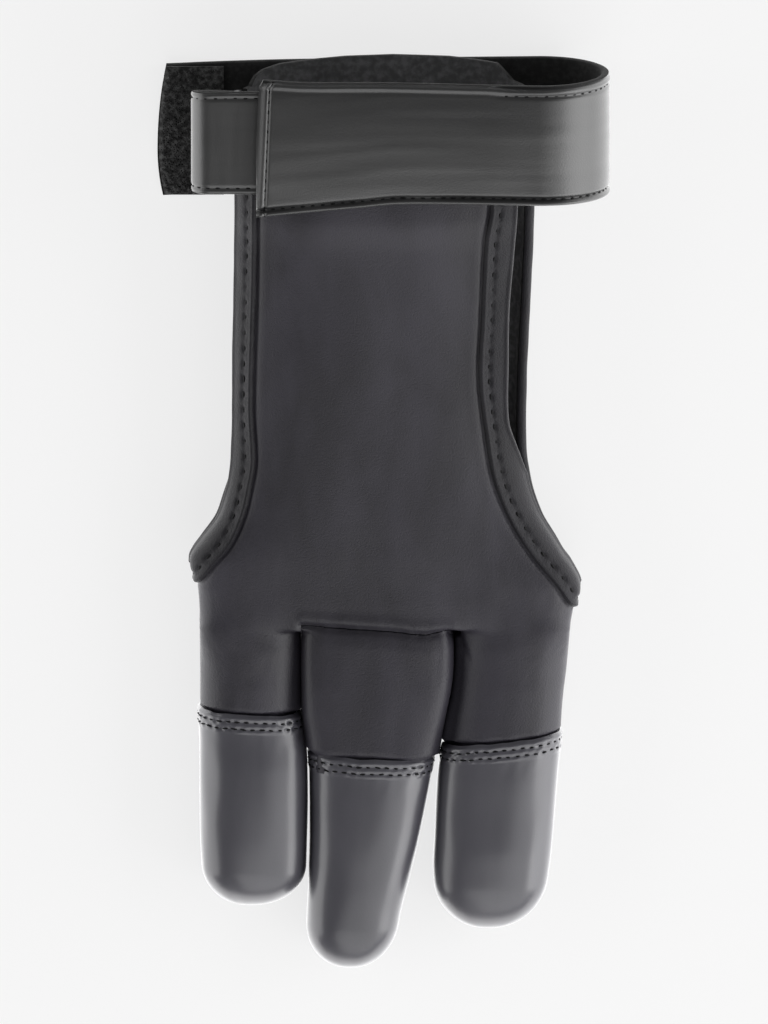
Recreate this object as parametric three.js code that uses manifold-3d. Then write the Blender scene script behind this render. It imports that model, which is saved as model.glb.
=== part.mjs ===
// A three-finger archery glove of soft black leather, lying on its back with the palm side up.
// Millimetres, +Z up. The fingers point along -Y, the wrist along +Y. While it is built, Y is
// measured from the finger crotch, and the finished glove is moved to stand over its own middle.

import * as THREE from "three";
import { mergeVertices } from "three/addons/utils/BufferGeometryUtils.js";
import Module from "manifold-3d";

const wasm = await Module();
wasm.setup();

// Walls and clearances
const LEATHER = 1.2;
const STALL_LEATHER = 1.6;
const SEAT = 0.3;

// Hand, from the finger crotch to the end of the wrist tongue
const HAND_LENGTH = 133.2;
const HAND_HALF_WIDTH = 42.8;
const HAND_HEIGHT = 18;
const WRIST_HEIGHT = 26.4;
const PALM_END = 128;
const SEAM_SHARE = 0.5;

// Side cut-outs between the palm flap and the back flap
const LEFT_SLOT_START = 15;
const RIGHT_SLOT_START = 10.5;
const SLOT_RUN = 26;
const SLOT_EDGES = { leftPalm: 0.62, leftBack: 0.25, rightPalm: 0.6, rightBack: 0.42 };

// Hems along the cut-outs
const HEM_THICKNESS = 0.9;
const BACK_HEM_DROP = { left: 3.2, right: 5.2 };
const BACK_HEM_END = 96;

// Wrist strap
const STRAP_WIDTH = 28.2;
const STRAP_THICKNESS = 1.8;
const STRAP_BEND_RADIUS = 15.5;
const STRAP_RIGHT = 51.75;
const STRAP_FLAP_END = -29;
const STRAP_TAIL_END = -51.75;
const STRAP_MIDDLE_Y = 118.3;

// Cuff band
const BAND_WIDTH = 24;
const BAND_THICKNESS = 1.8;
const BAND_FOLD_RADIUS = 3.4;
const BAND_LEFT = -43.9;
const BAND_HIDDEN_END = -16;
const BAND_MIDDLE_Y = 118.3;
const BAND_LAP = 3;

// Hook patch on the strap's tail
const PATCH_THICKNESS = 1.1;
const PATCH_LENGTH = 14;
const PATCH_MARGIN = 1.2;

// Fingers, with widths and heights over the outside of the stalls
const SHEATH_TUCK = 4;
const SHEATH_STEP = 1.2;
const SHEATH_INSIDE_HAND = 5;
const STALL_PROUD = 0.5;
const FINGERS = {
  index: {
    width: 25.2, height: 17.5, middleX: -29.7,
    mouth: 20, tip: 67.3, rootLeft: -42.1, rootRight: -19.6,
  },
  middle: {
    width: 28.9, height: 18.5, middleX: -2.7,
    mouth: 30.2, tip: 82.1, rootLeft: -18.3, rootRight: 16,
  },
  ring: {
    width: 28, height: 17.5, middleX: 26.7,
    mouth: 26.6, tip: 72.8, rootLeft: 17.5, rootRight: 42.8,
  },
};

// Set-in panel of the middle finger: its seam across the palm, measured from the crotch
const INSET_SEAM_LEFT = 1;
const INSET_SEAM_RIGHT = -0.6;

// How finely curves are faceted
const HAND_SIDES = 28;
const FINGER_SIDES = 20;
const BEND_STEPS = 10;
const FAR = 90;

// Sections of the hand: along is a share of HAND_LENGTH, left and right of HAND_HALF_WIDTH, lift
// of the strap that the wrist lies on, rise of the way from hand height to wrist height, and
// square of the way from the rounded wrist to the knuckles' flatter, squarer section
const HAND_SECTIONS = [
  { along: 0.0, left: -0.985, right: 1.0, lift: 0.0, rise: 0.0, square: 1 },
  { along: 0.0375, left: -0.985, right: 1.02, lift: 0.0, rise: 0.02, square: 0.9 },
  { along: 0.075, left: -0.995, right: 1.035, lift: 0.0, rise: 0.06, square: 0.75 },
  { along: 0.11, left: -1.016, right: 0.985, lift: 0.0, rise: 0.11, square: 0.55 },
  { along: 0.128, left: -1.01, right: 0.945, lift: 0.0, rise: 0.14, square: 0.45 },
  { along: 0.158, left: -0.945, right: 0.89, lift: 0.0, rise: 0.18, square: 0.35 },
  { along: 0.192, left: -0.87, right: 0.827, lift: 0.0, rise: 0.23, square: 0.25 },
  { along: 0.228, left: -0.832, right: 0.783, lift: 0.0, rise: 0.28, square: 0.18 },
  { along: 0.263, left: -0.81, right: 0.757, lift: 0.0, rise: 0.33, square: 0.12 },
  { along: 0.315, left: -0.799, right: 0.736, lift: 0.0, rise: 0.41, square: 0.08 },
  { along: 0.443, left: -0.79, right: 0.745, lift: 0.0, rise: 0.6, square: 0.04 },
  { along: 0.586, left: -0.783, right: 0.762, lift: 0.0, rise: 0.8, square: 0 },
  { along: 0.69, left: -0.779, right: 0.775, lift: 0.35, rise: 0.93, square: 0 },
  { along: 0.745, left: -0.778, right: 0.778, lift: 1.0, rise: 1.0, square: 0 },
  { along: 1.0, left: -0.778, right: 0.778, lift: 1.0, rise: 1.0, square: 0 },
];

// Right edge of the palm flap in plan, up to where it runs out over the little-finger side
const PALM_RIGHT_EDGE = [
  { along: 1.0, across: 0.72 },
  { along: 0.758, across: 0.703 },
  { along: 0.671, across: 0.682 },
  { along: 0.583, across: 0.661 },
  { along: 0.476, across: 0.656 },
  { along: 0.378, across: 0.659 },
  { along: 0.33, across: 0.697 },
  { along: 0.275, across: 0.748 },
  { along: 0.21, across: 0.83 },
  { along: 0.15, across: 0.95 },
  { along: 0.09, across: 1.3 },
];

// Inner edges of the two palm hems in plan
const LEFT_HEM_EDGE = [
  { along: 1.0, across: -0.67 },
  { along: 0.731, across: -0.672 },
  { along: 0.589, across: -0.678 },
  { along: 0.398, across: -0.694 },
  { along: 0.303, across: -0.683 },
  { along: 0.265, across: -0.699 },
  { along: 0.207, across: -0.74 },
  { along: 0.155, across: -0.811 },
  { along: 0.118, across: -0.902 },
  { along: 0.08, across: -1.01 },
  { along: 0.07, across: -1.3 },
];
const RIGHT_HEM_EDGE = [
  { along: 1.0, across: 0.58 },
  { along: 0.766, across: 0.57 },
  { along: 0.703, across: 0.542 },
  { along: 0.556, across: 0.521 },
  { along: 0.458, across: 0.511 },
  { along: 0.358, across: 0.542 },
  { along: 0.273, across: 0.586 },
  { along: 0.2, across: 0.672 },
  { along: 0.136, across: 0.79 },
  { along: 0.081, across: 0.925 },
  { along: 0.038, across: 1.025 },
  { along: 0.03, across: 1.3 },
];

// End of the wrist tongue in plan, from left to right
const TONGUE_END = [
  { along: 0.93, across: -1.3 },
  { along: 0.952, across: -0.724 },
  { along: 0.968, across: -0.697 },
  { along: 0.978, across: -0.65 },
  { along: 0.986, across: -0.554 },
  { along: 0.997, across: -0.2 },
  { along: 1.0, across: 0.05 },
  { along: 0.997, across: 0.35 },
  { along: 0.989, across: 0.617 },
  { along: 0.961, across: 0.703 },
  { along: 0.93, across: 1.3 },
];

// Sections of each stall: along is a share of its length from mouth to tip, left and right of its
// width from its middle line, low and high of its height
const STALL_SECTIONS = {
  index: [
    { along: 0.0, left: -0.512, right: 0.433, low: 0.0, high: 1.0 },
    { along: 0.12, left: -0.5, right: 0.47, low: 0.0, high: 1.0 },
    { along: 0.3, left: -0.496, right: 0.488, low: 0.0, high: 1.02 },
    { along: 0.62, left: -0.476, right: 0.488, low: 0.0, high: 1.0 },
    { along: 0.82, left: -0.456, right: 0.472, low: 0.0, high: 0.93 },
    { along: 0.9, left: -0.385, right: 0.405, low: 0.02, high: 0.85 },
    { along: 0.955, left: -0.3, right: 0.3, low: 0.08, high: 0.73 },
    { along: 0.985, left: -0.205, right: 0.16, low: 0.18, high: 0.6 },
    { along: 1.0, left: -0.12, right: 0.05, low: 0.28, high: 0.48 },
  ],
  middle: [
    { along: 0.0, left: -0.507, right: 0.507, low: 0.0, high: 1.0 },
    { along: 0.1, left: -0.491, right: 0.474, low: 0.0, high: 1.0 },
    { along: 0.37, left: -0.491, right: 0.388, low: 0.0, high: 1.0 },
    { along: 0.58, left: -0.502, right: 0.301, low: 0.0, high: 0.96 },
    { along: 0.75, left: -0.519, right: 0.228, low: 0.0, high: 0.9 },
    { along: 0.86, left: -0.502, right: 0.176, low: 0.01, high: 0.84 },
    { along: 0.93, left: -0.45, right: 0.106, low: 0.05, high: 0.75 },
    { along: 0.98, left: -0.36, right: 0.0, low: 0.15, high: 0.6 },
    { along: 1.0, left: -0.27, right: -0.1, low: 0.25, high: 0.46 },
  ],
  ring: [
    { along: 0.0, left: -0.464, right: 0.518, low: 0.0, high: 1.0 },
    { along: 0.16, left: -0.504, right: 0.493, low: 0.0, high: 1.0 },
    { along: 0.55, left: -0.536, right: 0.436, low: 0.0, high: 1.0 },
    { along: 0.67, left: -0.543, right: 0.411, low: 0.0, high: 0.97 },
    { along: 0.8, left: -0.504, right: 0.368, low: 0.01, high: 0.92 },
    { along: 0.9, left: -0.41, right: 0.282, low: 0.04, high: 0.83 },
    { along: 0.96, left: -0.3, right: 0.15, low: 0.11, high: 0.72 },
    { along: 0.99, left: -0.215, right: 0.03, low: 0.2, high: 0.58 },
    { along: 1.0, left: -0.16, right: -0.06, low: 0.28, high: 0.48 },
  ],
};

// Edges of the strap and of the band: along is a share of the length, low and high of the width
const STRAP_EDGES = [
  { along: 0.0, low: -0.606, high: 0.546 },
  { along: 0.05, low: -0.567, high: 0.525 },
  { along: 0.115, low: -0.525, high: 0.523 },
  { along: 0.165, low: -0.493, high: 0.52 },
  { along: 0.32, low: -0.505, high: 0.495 },
  { along: 0.445, low: -0.525, high: 0.487 },
  { along: 0.565, low: -0.532, high: 0.482 },
  { along: 0.85, low: -0.628, high: 0.457 },
  { along: 1.0, low: -0.677, high: 0.422 },
];
const BAND_EDGES = [
  { along: 0.0, low: -0.48, high: 0.47 },
  { along: 0.35, low: -0.5, high: 0.5 },
  { along: 1.0, low: -0.5, high: 0.5 },
];

// Heights that follow from the sizes above
const STRAP_BACK_Z = STRAP_THICKNESS / 2;
const WRIST_LIFT = STRAP_THICKNESS + SEAT;
const STRAP_FRONT_Z = STRAP_BACK_Z + 2 * STRAP_BEND_RADIUS;
const BAND_Z = STRAP_FRONT_Z - STRAP_THICKNESS / 2 - SEAT - BAND_THICKNESS / 2;
const STRAP_BEND_X = STRAP_RIGHT - STRAP_THICKNESS / 2 - STRAP_BEND_RADIUS;

const lerp = THREE.MathUtils.lerp;

// Value of a table's column at a share of its length, in straight steps between rows
function tableAt(rows, along, column) {
  const next = Math.max(1, rows.findIndex((row) => row.along >= along));
  const from = rows[next - 1];
  const to = rows[next];
  return lerp(from[column], to[column], (along - from.along) / (to.along - from.along));
}

// A closed superellipse in the XZ plane, squarer below than above and pressed flat where it rests
const ROUND_ABOVE = 2.5;
const ROUND_BELOW = 3;
const SQUARE = 5.5;
const PRESS = 1.04;
function sectionRing({ left, right, low, high, square = 0 }, sides) {
  const middleX = (left + right) / 2;
  const middleZ = (low + high) / 2;
  const ring = [];
  for (let i = 0; i < sides; i += 1) {
    const angle = (2 * Math.PI * (i + 0.5)) / sides;
    const c = Math.cos(angle);
    const s = Math.sin(angle);
    const power = 2 / lerp(s > 0 ? ROUND_ABOVE : ROUND_BELOW, SQUARE, square);
    const reach = s > 0 ? 1 : PRESS;
    const x = middleX + ((right - left) / 2) * Math.sign(c) * Math.abs(c) ** power;
    const z = middleZ + ((high - low) / 2) * reach * Math.sign(s) * Math.abs(s) ** power;
    ring.push(new THREE.Vector2(x, Math.max(z, low)));
  }
  return ring;
}

// A section drawn in by an inset on every side, or let out by a negative one
function insetSection(section, inset) {
  return {
    ...section,
    left: section.left + inset,
    right: section.right - inset,
    low: section.low + inset,
    high: section.high - inset,
  };
}

// A closed body through rings of points that follow each other along +Y
function loft(sections, sides) {
  const points = [];
  const faces = [];
  const sorted = [...sections].sort((a, b) => a.y - b.y);
  for (const section of sorted) {
    for (const p of sectionRing(section, sides)) {
      points.push(p.x, section.y, p.y);
    }
  }
  const last = (sorted.length - 1) * sides;
  for (let i = 0; i < sides; i += 1) {
    const j = (i + 1) % sides;
    for (let k = 0; k < last; k += sides) {
      faces.push(k + i, k + sides + i, k + sides + j, k + i, k + sides + j, k + j);
    }
  }
  for (const [start, section, turn] of [[0, sorted[0], 1], [last, sorted.at(-1), -1]]) {
    const middle = points.length / 3;
    points.push((section.left + section.right) / 2, section.y, (section.low + section.high) / 2);
    for (let i = 0; i < sides; i += 1) {
      const j = (i + 1) % sides;
      faces.push(middle, start + (turn > 0 ? i : j), start + (turn > 0 ? j : i));
    }
  }
  const geometry = new THREE.BufferGeometry();
  geometry.setAttribute("position", new THREE.Float32BufferAttribute(points, 3));
  geometry.setIndex(faces);
  return geometry;
}

function solidOf(geometry) {
  const bare = geometry.clone();
  bare.deleteAttribute("normal");
  bare.deleteAttribute("uv");
  const merged = mergeVertices(bare, 1e-4);
  return new wasm.Manifold(
    new wasm.Mesh({
      numProp: 3,
      vertProperties: new Float32Array(merged.attributes.position.array),
      triVerts: new Uint32Array(merged.index.array),
    }),
  );
}

function geometryOf(solid) {
  const mesh = solid.getMesh();
  const geometry = new THREE.BufferGeometry();
  geometry.setAttribute("position", new THREE.BufferAttribute(mesh.vertProperties, 3));
  geometry.setIndex(new THREE.BufferAttribute(mesh.triVerts, 1));
  return geometry;
}

// Zones that cut the leather: an outline in plan over all heights, and a profile seen from the side
// over a stretch of X
function planZone(points) {
  const shape = new THREE.Shape(points.map(([x, y]) => new THREE.Vector2(x, y)));
  const geometry = new THREE.ExtrudeGeometry(shape, { depth: 2 * FAR, bevelEnabled: false });
  geometry.translate(0, 0, -FAR);
  return solidOf(geometry);
}

function sideZone(points, fromX, toX) {
  const shape = new THREE.Shape(points.map(([y, z]) => new THREE.Vector2(y, z)));
  const geometry = new THREE.ExtrudeGeometry(shape, { depth: toX - fromX, bevelEnabled: false });
  const turn = new THREE.Matrix4().makeBasis(
    new THREE.Vector3(0, 1, 0),
    new THREE.Vector3(0, 0, 1),
    new THREE.Vector3(1, 0, 0),
  );
  geometry.applyMatrix4(turn);
  geometry.translate(fromX, 0, 0);
  return solidOf(geometry);
}

const planPoint = (row) => [row.across * HAND_HALF_WIDTH, row.along * HAND_LENGTH];

// The hand as a tube, with its skin let out by a distance
function handSection(row) {
  const low = row.lift * WRIST_LIFT;
  const height = lerp(HAND_HEIGHT, WRIST_HEIGHT, row.rise);
  return {
    y: row.along * HAND_LENGTH,
    left: row.left * HAND_HALF_WIDTH,
    right: row.right * HAND_HALF_WIDTH,
    low,
    high: low + height,
    square: row.square,
  };
}

function handTube(out) {
  const sections = HAND_SECTIONS.map((row) => insetSection(handSection(row), -out));
  if (out < 0) {
    sections[0].y -= out;
    sections.push({ ...sections.at(-1), y: HAND_LENGTH + FAR });
  }
  return loft(sections, HAND_SIDES);
}

function handHeightAt(y, share) {
  const along = THREE.MathUtils.clamp(y / HAND_LENGTH, 0, 1);
  const low = tableAt(HAND_SECTIONS, along, "lift") * WRIST_LIFT;
  const rise = tableAt(HAND_SECTIONS, along, "rise");
  return low + share * lerp(HAND_HEIGHT, WRIST_HEIGHT, rise);
}

// Sections of a finger: the stall's outside, and the sheath that runs into it
function stallSection(finger, name, along) {
  const rows = STALL_SECTIONS[name];
  return {
    y: -lerp(finger.mouth, finger.tip, along),
    left: finger.middleX + tableAt(rows, along, "left") * finger.width,
    right: finger.middleX + tableAt(rows, along, "right") * finger.width,
    low: tableAt(rows, along, "low") * finger.height,
    high: tableAt(rows, along, "high") * finger.height,
  };
}

function sheathSections(finger, name, out) {
  const length = finger.tip - finger.mouth;
  const mouth = stallSection(finger, name, 0);
  const outside = insetSection({ ...mouth, low: -STALL_PROUD }, STALL_PROUD);
  const neck = insetSection(mouth, STALL_LEATHER + SEAT);
  const end = insetSection(stallSection(finger, name, SHEATH_TUCK / length), STALL_LEATHER + SEAT);
  const root = { ...outside, left: finger.rootLeft, right: finger.rootRight };
  return [
    { ...root, y: SHEATH_INSIDE_HAND },
    { ...root, y: 0 },
    { ...outside, y: mouth.y + SHEATH_STEP },
    { ...neck, y: mouth.y + SEAT },
    end,
  ].map((section) => insetSection(section, -out));
}

function sheathTube(finger, name, out) {
  const sections = sheathSections(finger, name, out);
  if (out < 0) {
    sections.push({ ...sections.at(-1), y: sections.at(-1).y - SHEATH_TUCK });
  }
  return loft(sections, FINGER_SIDES);
}

// The leather skin of the hand and of the three sheaths, hollow and open at both ends
function skinSolid() {
  let outside = solidOf(handTube(0));
  let inside = solidOf(handTube(-LEATHER));
  for (const [name, finger] of Object.entries(FINGERS)) {
    outside = outside.add(solidOf(sheathTube(finger, name, 0)));
    inside = inside.add(solidOf(sheathTube(finger, name, -LEATHER)));
  }
  return outside.subtract(inside);
}

// Height of a cut edge above the floor, which leaves the side seam where its slot starts
function edgeHeight(y, slotStart, share) {
  const open = THREE.MathUtils.smoothstep(y, slotStart, slotStart + SLOT_RUN);
  return handHeightAt(y, lerp(SEAM_SHARE, share, open));
}

function edgeProfile(slotStart, share, shift) {
  const steps = 5;
  const stops = [-FAR, 0, slotStart];
  for (let i = 1; i <= steps; i += 1) {
    stops.push(slotStart + (SLOT_RUN * i) / steps);
  }
  stops.push(...HAND_SECTIONS.map((row) => row.along * HAND_LENGTH).filter((y) => y > stops.at(-1)));
  return stops.map((y) => [y, edgeHeight(y, slotStart, share) + shift]);
}

function aboveEdge(side, share, shift = SEAT / 2) {
  const profile = edgeProfile(side < 0 ? LEFT_SLOT_START : RIGHT_SLOT_START, share, shift);
  const closed = [...profile, [profile.at(-1)[0], FAR], [profile[0][0], FAR]];
  return sideZone(closed, side < 0 ? -FAR : 0, side < 0 ? 0 : FAR);
}

function belowEdge(side, share, shift = -SEAT / 2) {
  const profile = edgeProfile(side < 0 ? LEFT_SLOT_START : RIGHT_SLOT_START, share, shift);
  const closed = [[profile[0][0], -FAR], [profile.at(-1)[0], -FAR], ...profile.reverse()];
  return sideZone(closed, side < 0 ? -FAR : 0, side < 0 ? 0 : FAR);
}

function palmOutline() {
  return planZone([
    [-FAR, -FAR],
    [FAR, -FAR],
    ...PALM_RIGHT_EDGE.map(planPoint).reverse().filter(([, y]) => y < PALM_END),
    [PALM_RIGHT_EDGE[0].across * HAND_HALF_WIDTH, PALM_END],
    [-FAR, PALM_END],
  ]);
}

// The set-in panel's field in plan, let out by a distance
function insetField(out) {
  const { rootLeft, rootRight } = FINGERS.middle;
  const left = (FINGERS.index.rootRight + rootLeft) / 2 - out;
  const right = (rootRight + FINGERS.ring.rootLeft) / 2 + out;
  const mouthRight = stallSection(FINGERS.middle, "middle", 0).right + out;
  return planZone([
    [left, INSET_SEAM_LEFT + out],
    [left, -FAR],
    [mouthRight, -FAR],
    [mouthRight, -FINGERS.middle.mouth],
    [right, INSET_SEAM_RIGHT + out],
  ]);
}

function palmZone() {
  const sides = aboveEdge(-1, SLOT_EDGES.leftPalm).add(aboveEdge(1, SLOT_EDGES.rightPalm));
  return sides.intersect(palmOutline());
}

function palmPanel(skin) {
  return geometryOf(skin.intersect(palmZone()).subtract(insetField(SEAT / 2)));
}

function middleInset(skin) {
  return geometryOf(skin.intersect(palmZone()).intersect(insetField(-SEAT / 2)));
}

function backPanel(skin) {
  const sides = belowEdge(-1, SLOT_EDGES.leftBack).add(belowEdge(1, SLOT_EDGES.rightBack));
  const outline = planZone([[FAR, -FAR], ...TONGUE_END.map(planPoint).reverse(), [-FAR, -FAR]]);
  return geometryOf(skin.intersect(sides).intersect(outline));
}

// Hems lie on the outside of the skin
function hemSkin() {
  const outside = solidOf(handTube(SEAT + HEM_THICKNESS));
  return outside.subtract(solidOf(handTube(SEAT)));
}

function palmHem(layer, side) {
  const edge = (side < 0 ? LEFT_HEM_EDGE : RIGHT_HEM_EDGE).map(planPoint);
  const strip = planZone(
    side < 0
      ? [...edge, [-FAR, edge.at(-1)[1]], [-FAR, HAND_LENGTH]]
      : [...edge.reverse(), [FAR, HAND_LENGTH], [FAR, edge[0][1]]],
  );
  const above = aboveEdge(side, side < 0 ? SLOT_EDGES.leftPalm : SLOT_EDGES.rightPalm);
  return geometryOf(layer.intersect(above).intersect(palmOutline()).intersect(strip));
}

function backHem(layer, side) {
  const share = side < 0 ? SLOT_EDGES.leftBack : SLOT_EDGES.rightBack;
  const start = side < 0 ? LEFT_SLOT_START : RIGHT_SLOT_START;
  const end = BACK_HEM_END;
  const stretch = sideZone([[start, -FAR], [end, -FAR], [end, FAR], [start, FAR]], -FAR, FAR);
  const drop = side < 0 ? BACK_HEM_DROP.left : BACK_HEM_DROP.right;
  const band = belowEdge(side, share).intersect(aboveEdge(side, share, -drop));
  return geometryOf(layer.intersect(band).intersect(stretch));
}

// A stall is a closed thimble, less the same form drawn in by its wall and run out of its mouth
function stall(finger, name) {
  const outside = STALL_SECTIONS[name].map((row) => stallSection(finger, name, row.along));
  const inside = outside.map((section) => insetSection(section, STALL_LEATHER));
  const hollow = inside.filter((section) => section.right - section.left > STALL_LEATHER);
  hollow.at(-1).y += STALL_LEATHER;
  hollow.push({ ...inside[0], y: inside[0].y + SHEATH_TUCK });
  const body = solidOf(loft(outside, FINGER_SIDES));
  return geometryOf(body.subtract(solidOf(loft(hollow, FINGER_SIDES))));
}

// A strip of leather whose path lies in the XZ plane and whose width runs along Y
function strip(path, thickness, edges, middleY, width) {
  const lengths = [0];
  for (let i = 1; i < path.length; i += 1) {
    lengths.push(lengths[i - 1] + path[i].distanceTo(path[i - 1]));
  }
  const points = [];
  const faces = [];
  path.forEach((point, i) => {
    const before = path[Math.max(i - 1, 0)];
    const after = path[Math.min(i + 1, path.length - 1)];
    const side = after.clone().sub(before).normalize().multiplyScalar(thickness / 2);
    const along = lengths[i] / lengths.at(-1);
    const low = middleY + tableAt(edges, along, "low") * width;
    const high = middleY + tableAt(edges, along, "high") * width;
    const outer = [point.x - side.y, point.y + side.x];
    const inner = [point.x + side.y, point.y - side.x];
    points.push(outer[0], low, outer[1], outer[0], high, outer[1]);
    points.push(inner[0], high, inner[1], inner[0], low, inner[1]);
  });
  const last = (path.length - 1) * 4;
  for (let i = 0; i < 4; i += 1) {
    const j = (i + 1) % 4;
    for (let k = 0; k < last; k += 4) {
      faces.push(k + i, k + 4 + i, k + 4 + j, k + i, k + 4 + j, k + j);
    }
  }
  faces.push(0, 1, 2, 0, 2, 3, last, last + 2, last + 1, last, last + 3, last + 2);
  const geometry = new THREE.BufferGeometry();
  geometry.setAttribute("position", new THREE.Float32BufferAttribute(points, 3));
  geometry.setIndex(faces);
  return geometry;
}

function linePoints(from, to, steps) {
  return new THREE.LineCurve(from, to).getPoints(steps);
}

function arcPoints(middle, radius, from, to, clockwise) {
  const arc = new THREE.EllipseCurve(middle.x, middle.y, radius, radius, from, to, clockwise);
  return arc.getPoints(BEND_STEPS);
}

// The strap: from the flap's end over the front, round the right side and back along the floor
function wristStrap() {
  const frontStart = new THREE.Vector2(STRAP_FLAP_END, STRAP_FRONT_Z);
  const bendStart = new THREE.Vector2(STRAP_BEND_X, STRAP_FRONT_Z);
  const bendMiddle = new THREE.Vector2(STRAP_BEND_X, STRAP_FRONT_Z - STRAP_BEND_RADIUS);
  const bendEnd = new THREE.Vector2(STRAP_BEND_X, STRAP_BACK_Z);
  const tailEnd = new THREE.Vector2(STRAP_TAIL_END, STRAP_BACK_Z);
  const path = [
    ...linePoints(frontStart, bendStart, 6).slice(0, -1),
    ...arcPoints(bendMiddle, STRAP_BEND_RADIUS, Math.PI / 2, -Math.PI / 2, true),
    ...linePoints(bendEnd, tailEnd, 4).slice(1),
  ];
  return strip(path, STRAP_THICKNESS, STRAP_EDGES, STRAP_MIDDLE_Y, STRAP_WIDTH);
}

// The left edge of the back panel at the wrist, where the band comes down to it
function backCorner() {
  const height = handHeightAt(HAND_LENGTH, SLOT_EDGES.leftBack);
  const ring = sectionRing(handSection(HAND_SECTIONS.at(-1)), HAND_SIDES).filter((p) => p.x < 0);
  const above = ring.filter((p) => p.y >= height).reduce((a, b) => (a.y < b.y ? a : b));
  const below = ring.filter((p) => p.y < height).reduce((a, b) => (a.y > b.y ? a : b));
  const x = lerp(below.x, above.x, (height - below.y) / (above.y - below.y));
  return new THREE.Vector2(x, height);
}

// The band: from its hidden end under the strap's flap, round its fold and down to the back panel,
// which it passes at the clearance of a seat
function cuffBand() {
  const foldX = BAND_LEFT + BAND_THICKNESS / 2 + BAND_FOLD_RADIUS;
  const foldMiddle = new THREE.Vector2(foldX, BAND_Z - BAND_FOLD_RADIUS);
  const corner = backCorner();
  const reach = BAND_THICKNESS / 2 + SEAT;
  const toCorner = corner.clone().sub(foldMiddle);
  const spread = Math.acos((BAND_FOLD_RADIUS - reach) / toCorner.length());
  const turn = Math.atan2(toCorner.y, toCorner.x) - spread;
  const away = new THREE.Vector2(Math.cos(turn), Math.sin(turn));
  const down = new THREE.Vector2(-away.y, away.x);
  const end = corner.clone().addScaledVector(away, reach).addScaledVector(down, BAND_LAP);
  const hidden = new THREE.Vector2(BAND_HIDDEN_END, BAND_Z);
  const foldStart = new THREE.Vector2(foldX, BAND_Z);
  const arc = arcPoints(foldMiddle, BAND_FOLD_RADIUS, Math.PI / 2, turn + 2 * Math.PI, false);
  const front = linePoints(hidden, foldStart, 3).slice(0, -1);
  const leg = linePoints(arc.at(-1), end, 3).slice(1);
  const path = [...front, ...arc, ...leg];
  return strip(path.reverse(), BAND_THICKNESS, BAND_EDGES, BAND_MIDDLE_Y, BAND_WIDTH);
}

function hookPatch() {
  const tail = STRAP_EDGES.at(-1);
  const low = STRAP_MIDDLE_Y + tail.low * STRAP_WIDTH + PATCH_MARGIN;
  const high = STRAP_MIDDLE_Y + tail.high * STRAP_WIDTH - PATCH_MARGIN;
  const geometry = new THREE.BoxGeometry(PATCH_LENGTH, high - low, PATCH_THICKNESS);
  const x = STRAP_TAIL_END + PATCH_MARGIN + PATCH_LENGTH / 2;
  geometry.translate(x, (low + high) / 2, STRAP_THICKNESS + SEAT + PATCH_THICKNESS / 2);
  return geometry;
}

const PALM_LEATHER = { color: 0x3c3b3f, roughness: 0.62, metalness: 0 };
const STALL_SURFACE = { color: 0x525156, roughness: 0.42, metalness: 0 };
const STRAP_SURFACE = { color: 0x38383a, roughness: 0.55, metalness: 0 };
const HEM_SURFACE = { color: 0x4b4a4e, roughness: 0.6, metalness: 0 };
const HOOK_SURFACE = { color: 0x191919, roughness: 0.95, metalness: 0 };

const glove = new THREE.Group();

function addPiece(name, geometry, look) {
  const mesh = new THREE.Mesh(geometry, new THREE.MeshStandardMaterial(look));
  mesh.name = name;
  glove.add(mesh);
}

const skin = skinSolid();
const hemLayer = hemSkin();
addPiece("palm_panel", palmPanel(skin), PALM_LEATHER);
addPiece("middle_inset", middleInset(skin), PALM_LEATHER);
addPiece("back_panel", backPanel(skin), PALM_LEATHER);
for (const [name, finger] of Object.entries(FINGERS)) {
  addPiece(`${name}_stall`, stall(finger, name), STALL_SURFACE);
}
addPiece("palm_hem_left", palmHem(hemLayer, -1), HEM_SURFACE);
addPiece("palm_hem_right", palmHem(hemLayer, 1), HEM_SURFACE);
addPiece("back_hem_left", backHem(hemLayer, -1), HEM_SURFACE);
addPiece("back_hem_right", backHem(hemLayer, 1), HEM_SURFACE);
addPiece("wrist_strap", wristStrap(), STRAP_SURFACE);
addPiece("cuff_band", cuffBand(), STRAP_SURFACE);
addPiece("hook_patch", hookPatch(), HOOK_SURFACE);

// The origin is under the middle of the glove, on the surface that it lies on
const box = new THREE.Box3().setFromObject(glove);
const middle = box.getCenter(new THREE.Vector3());
for (const mesh of glove.children) {
  mesh.position.set(-middle.x, -middle.y, -box.min.z);
}

export default glove;
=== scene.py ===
# An archery glove in black leather, three fingers long, lying on its back with the palm up.
# Shapes are worked out in millimetres, with Y measured from the finger crotch towards the wrist.
import functools
import math
import random

import bmesh
import bpy
import numpy as np
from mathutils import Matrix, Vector, noise


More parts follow.
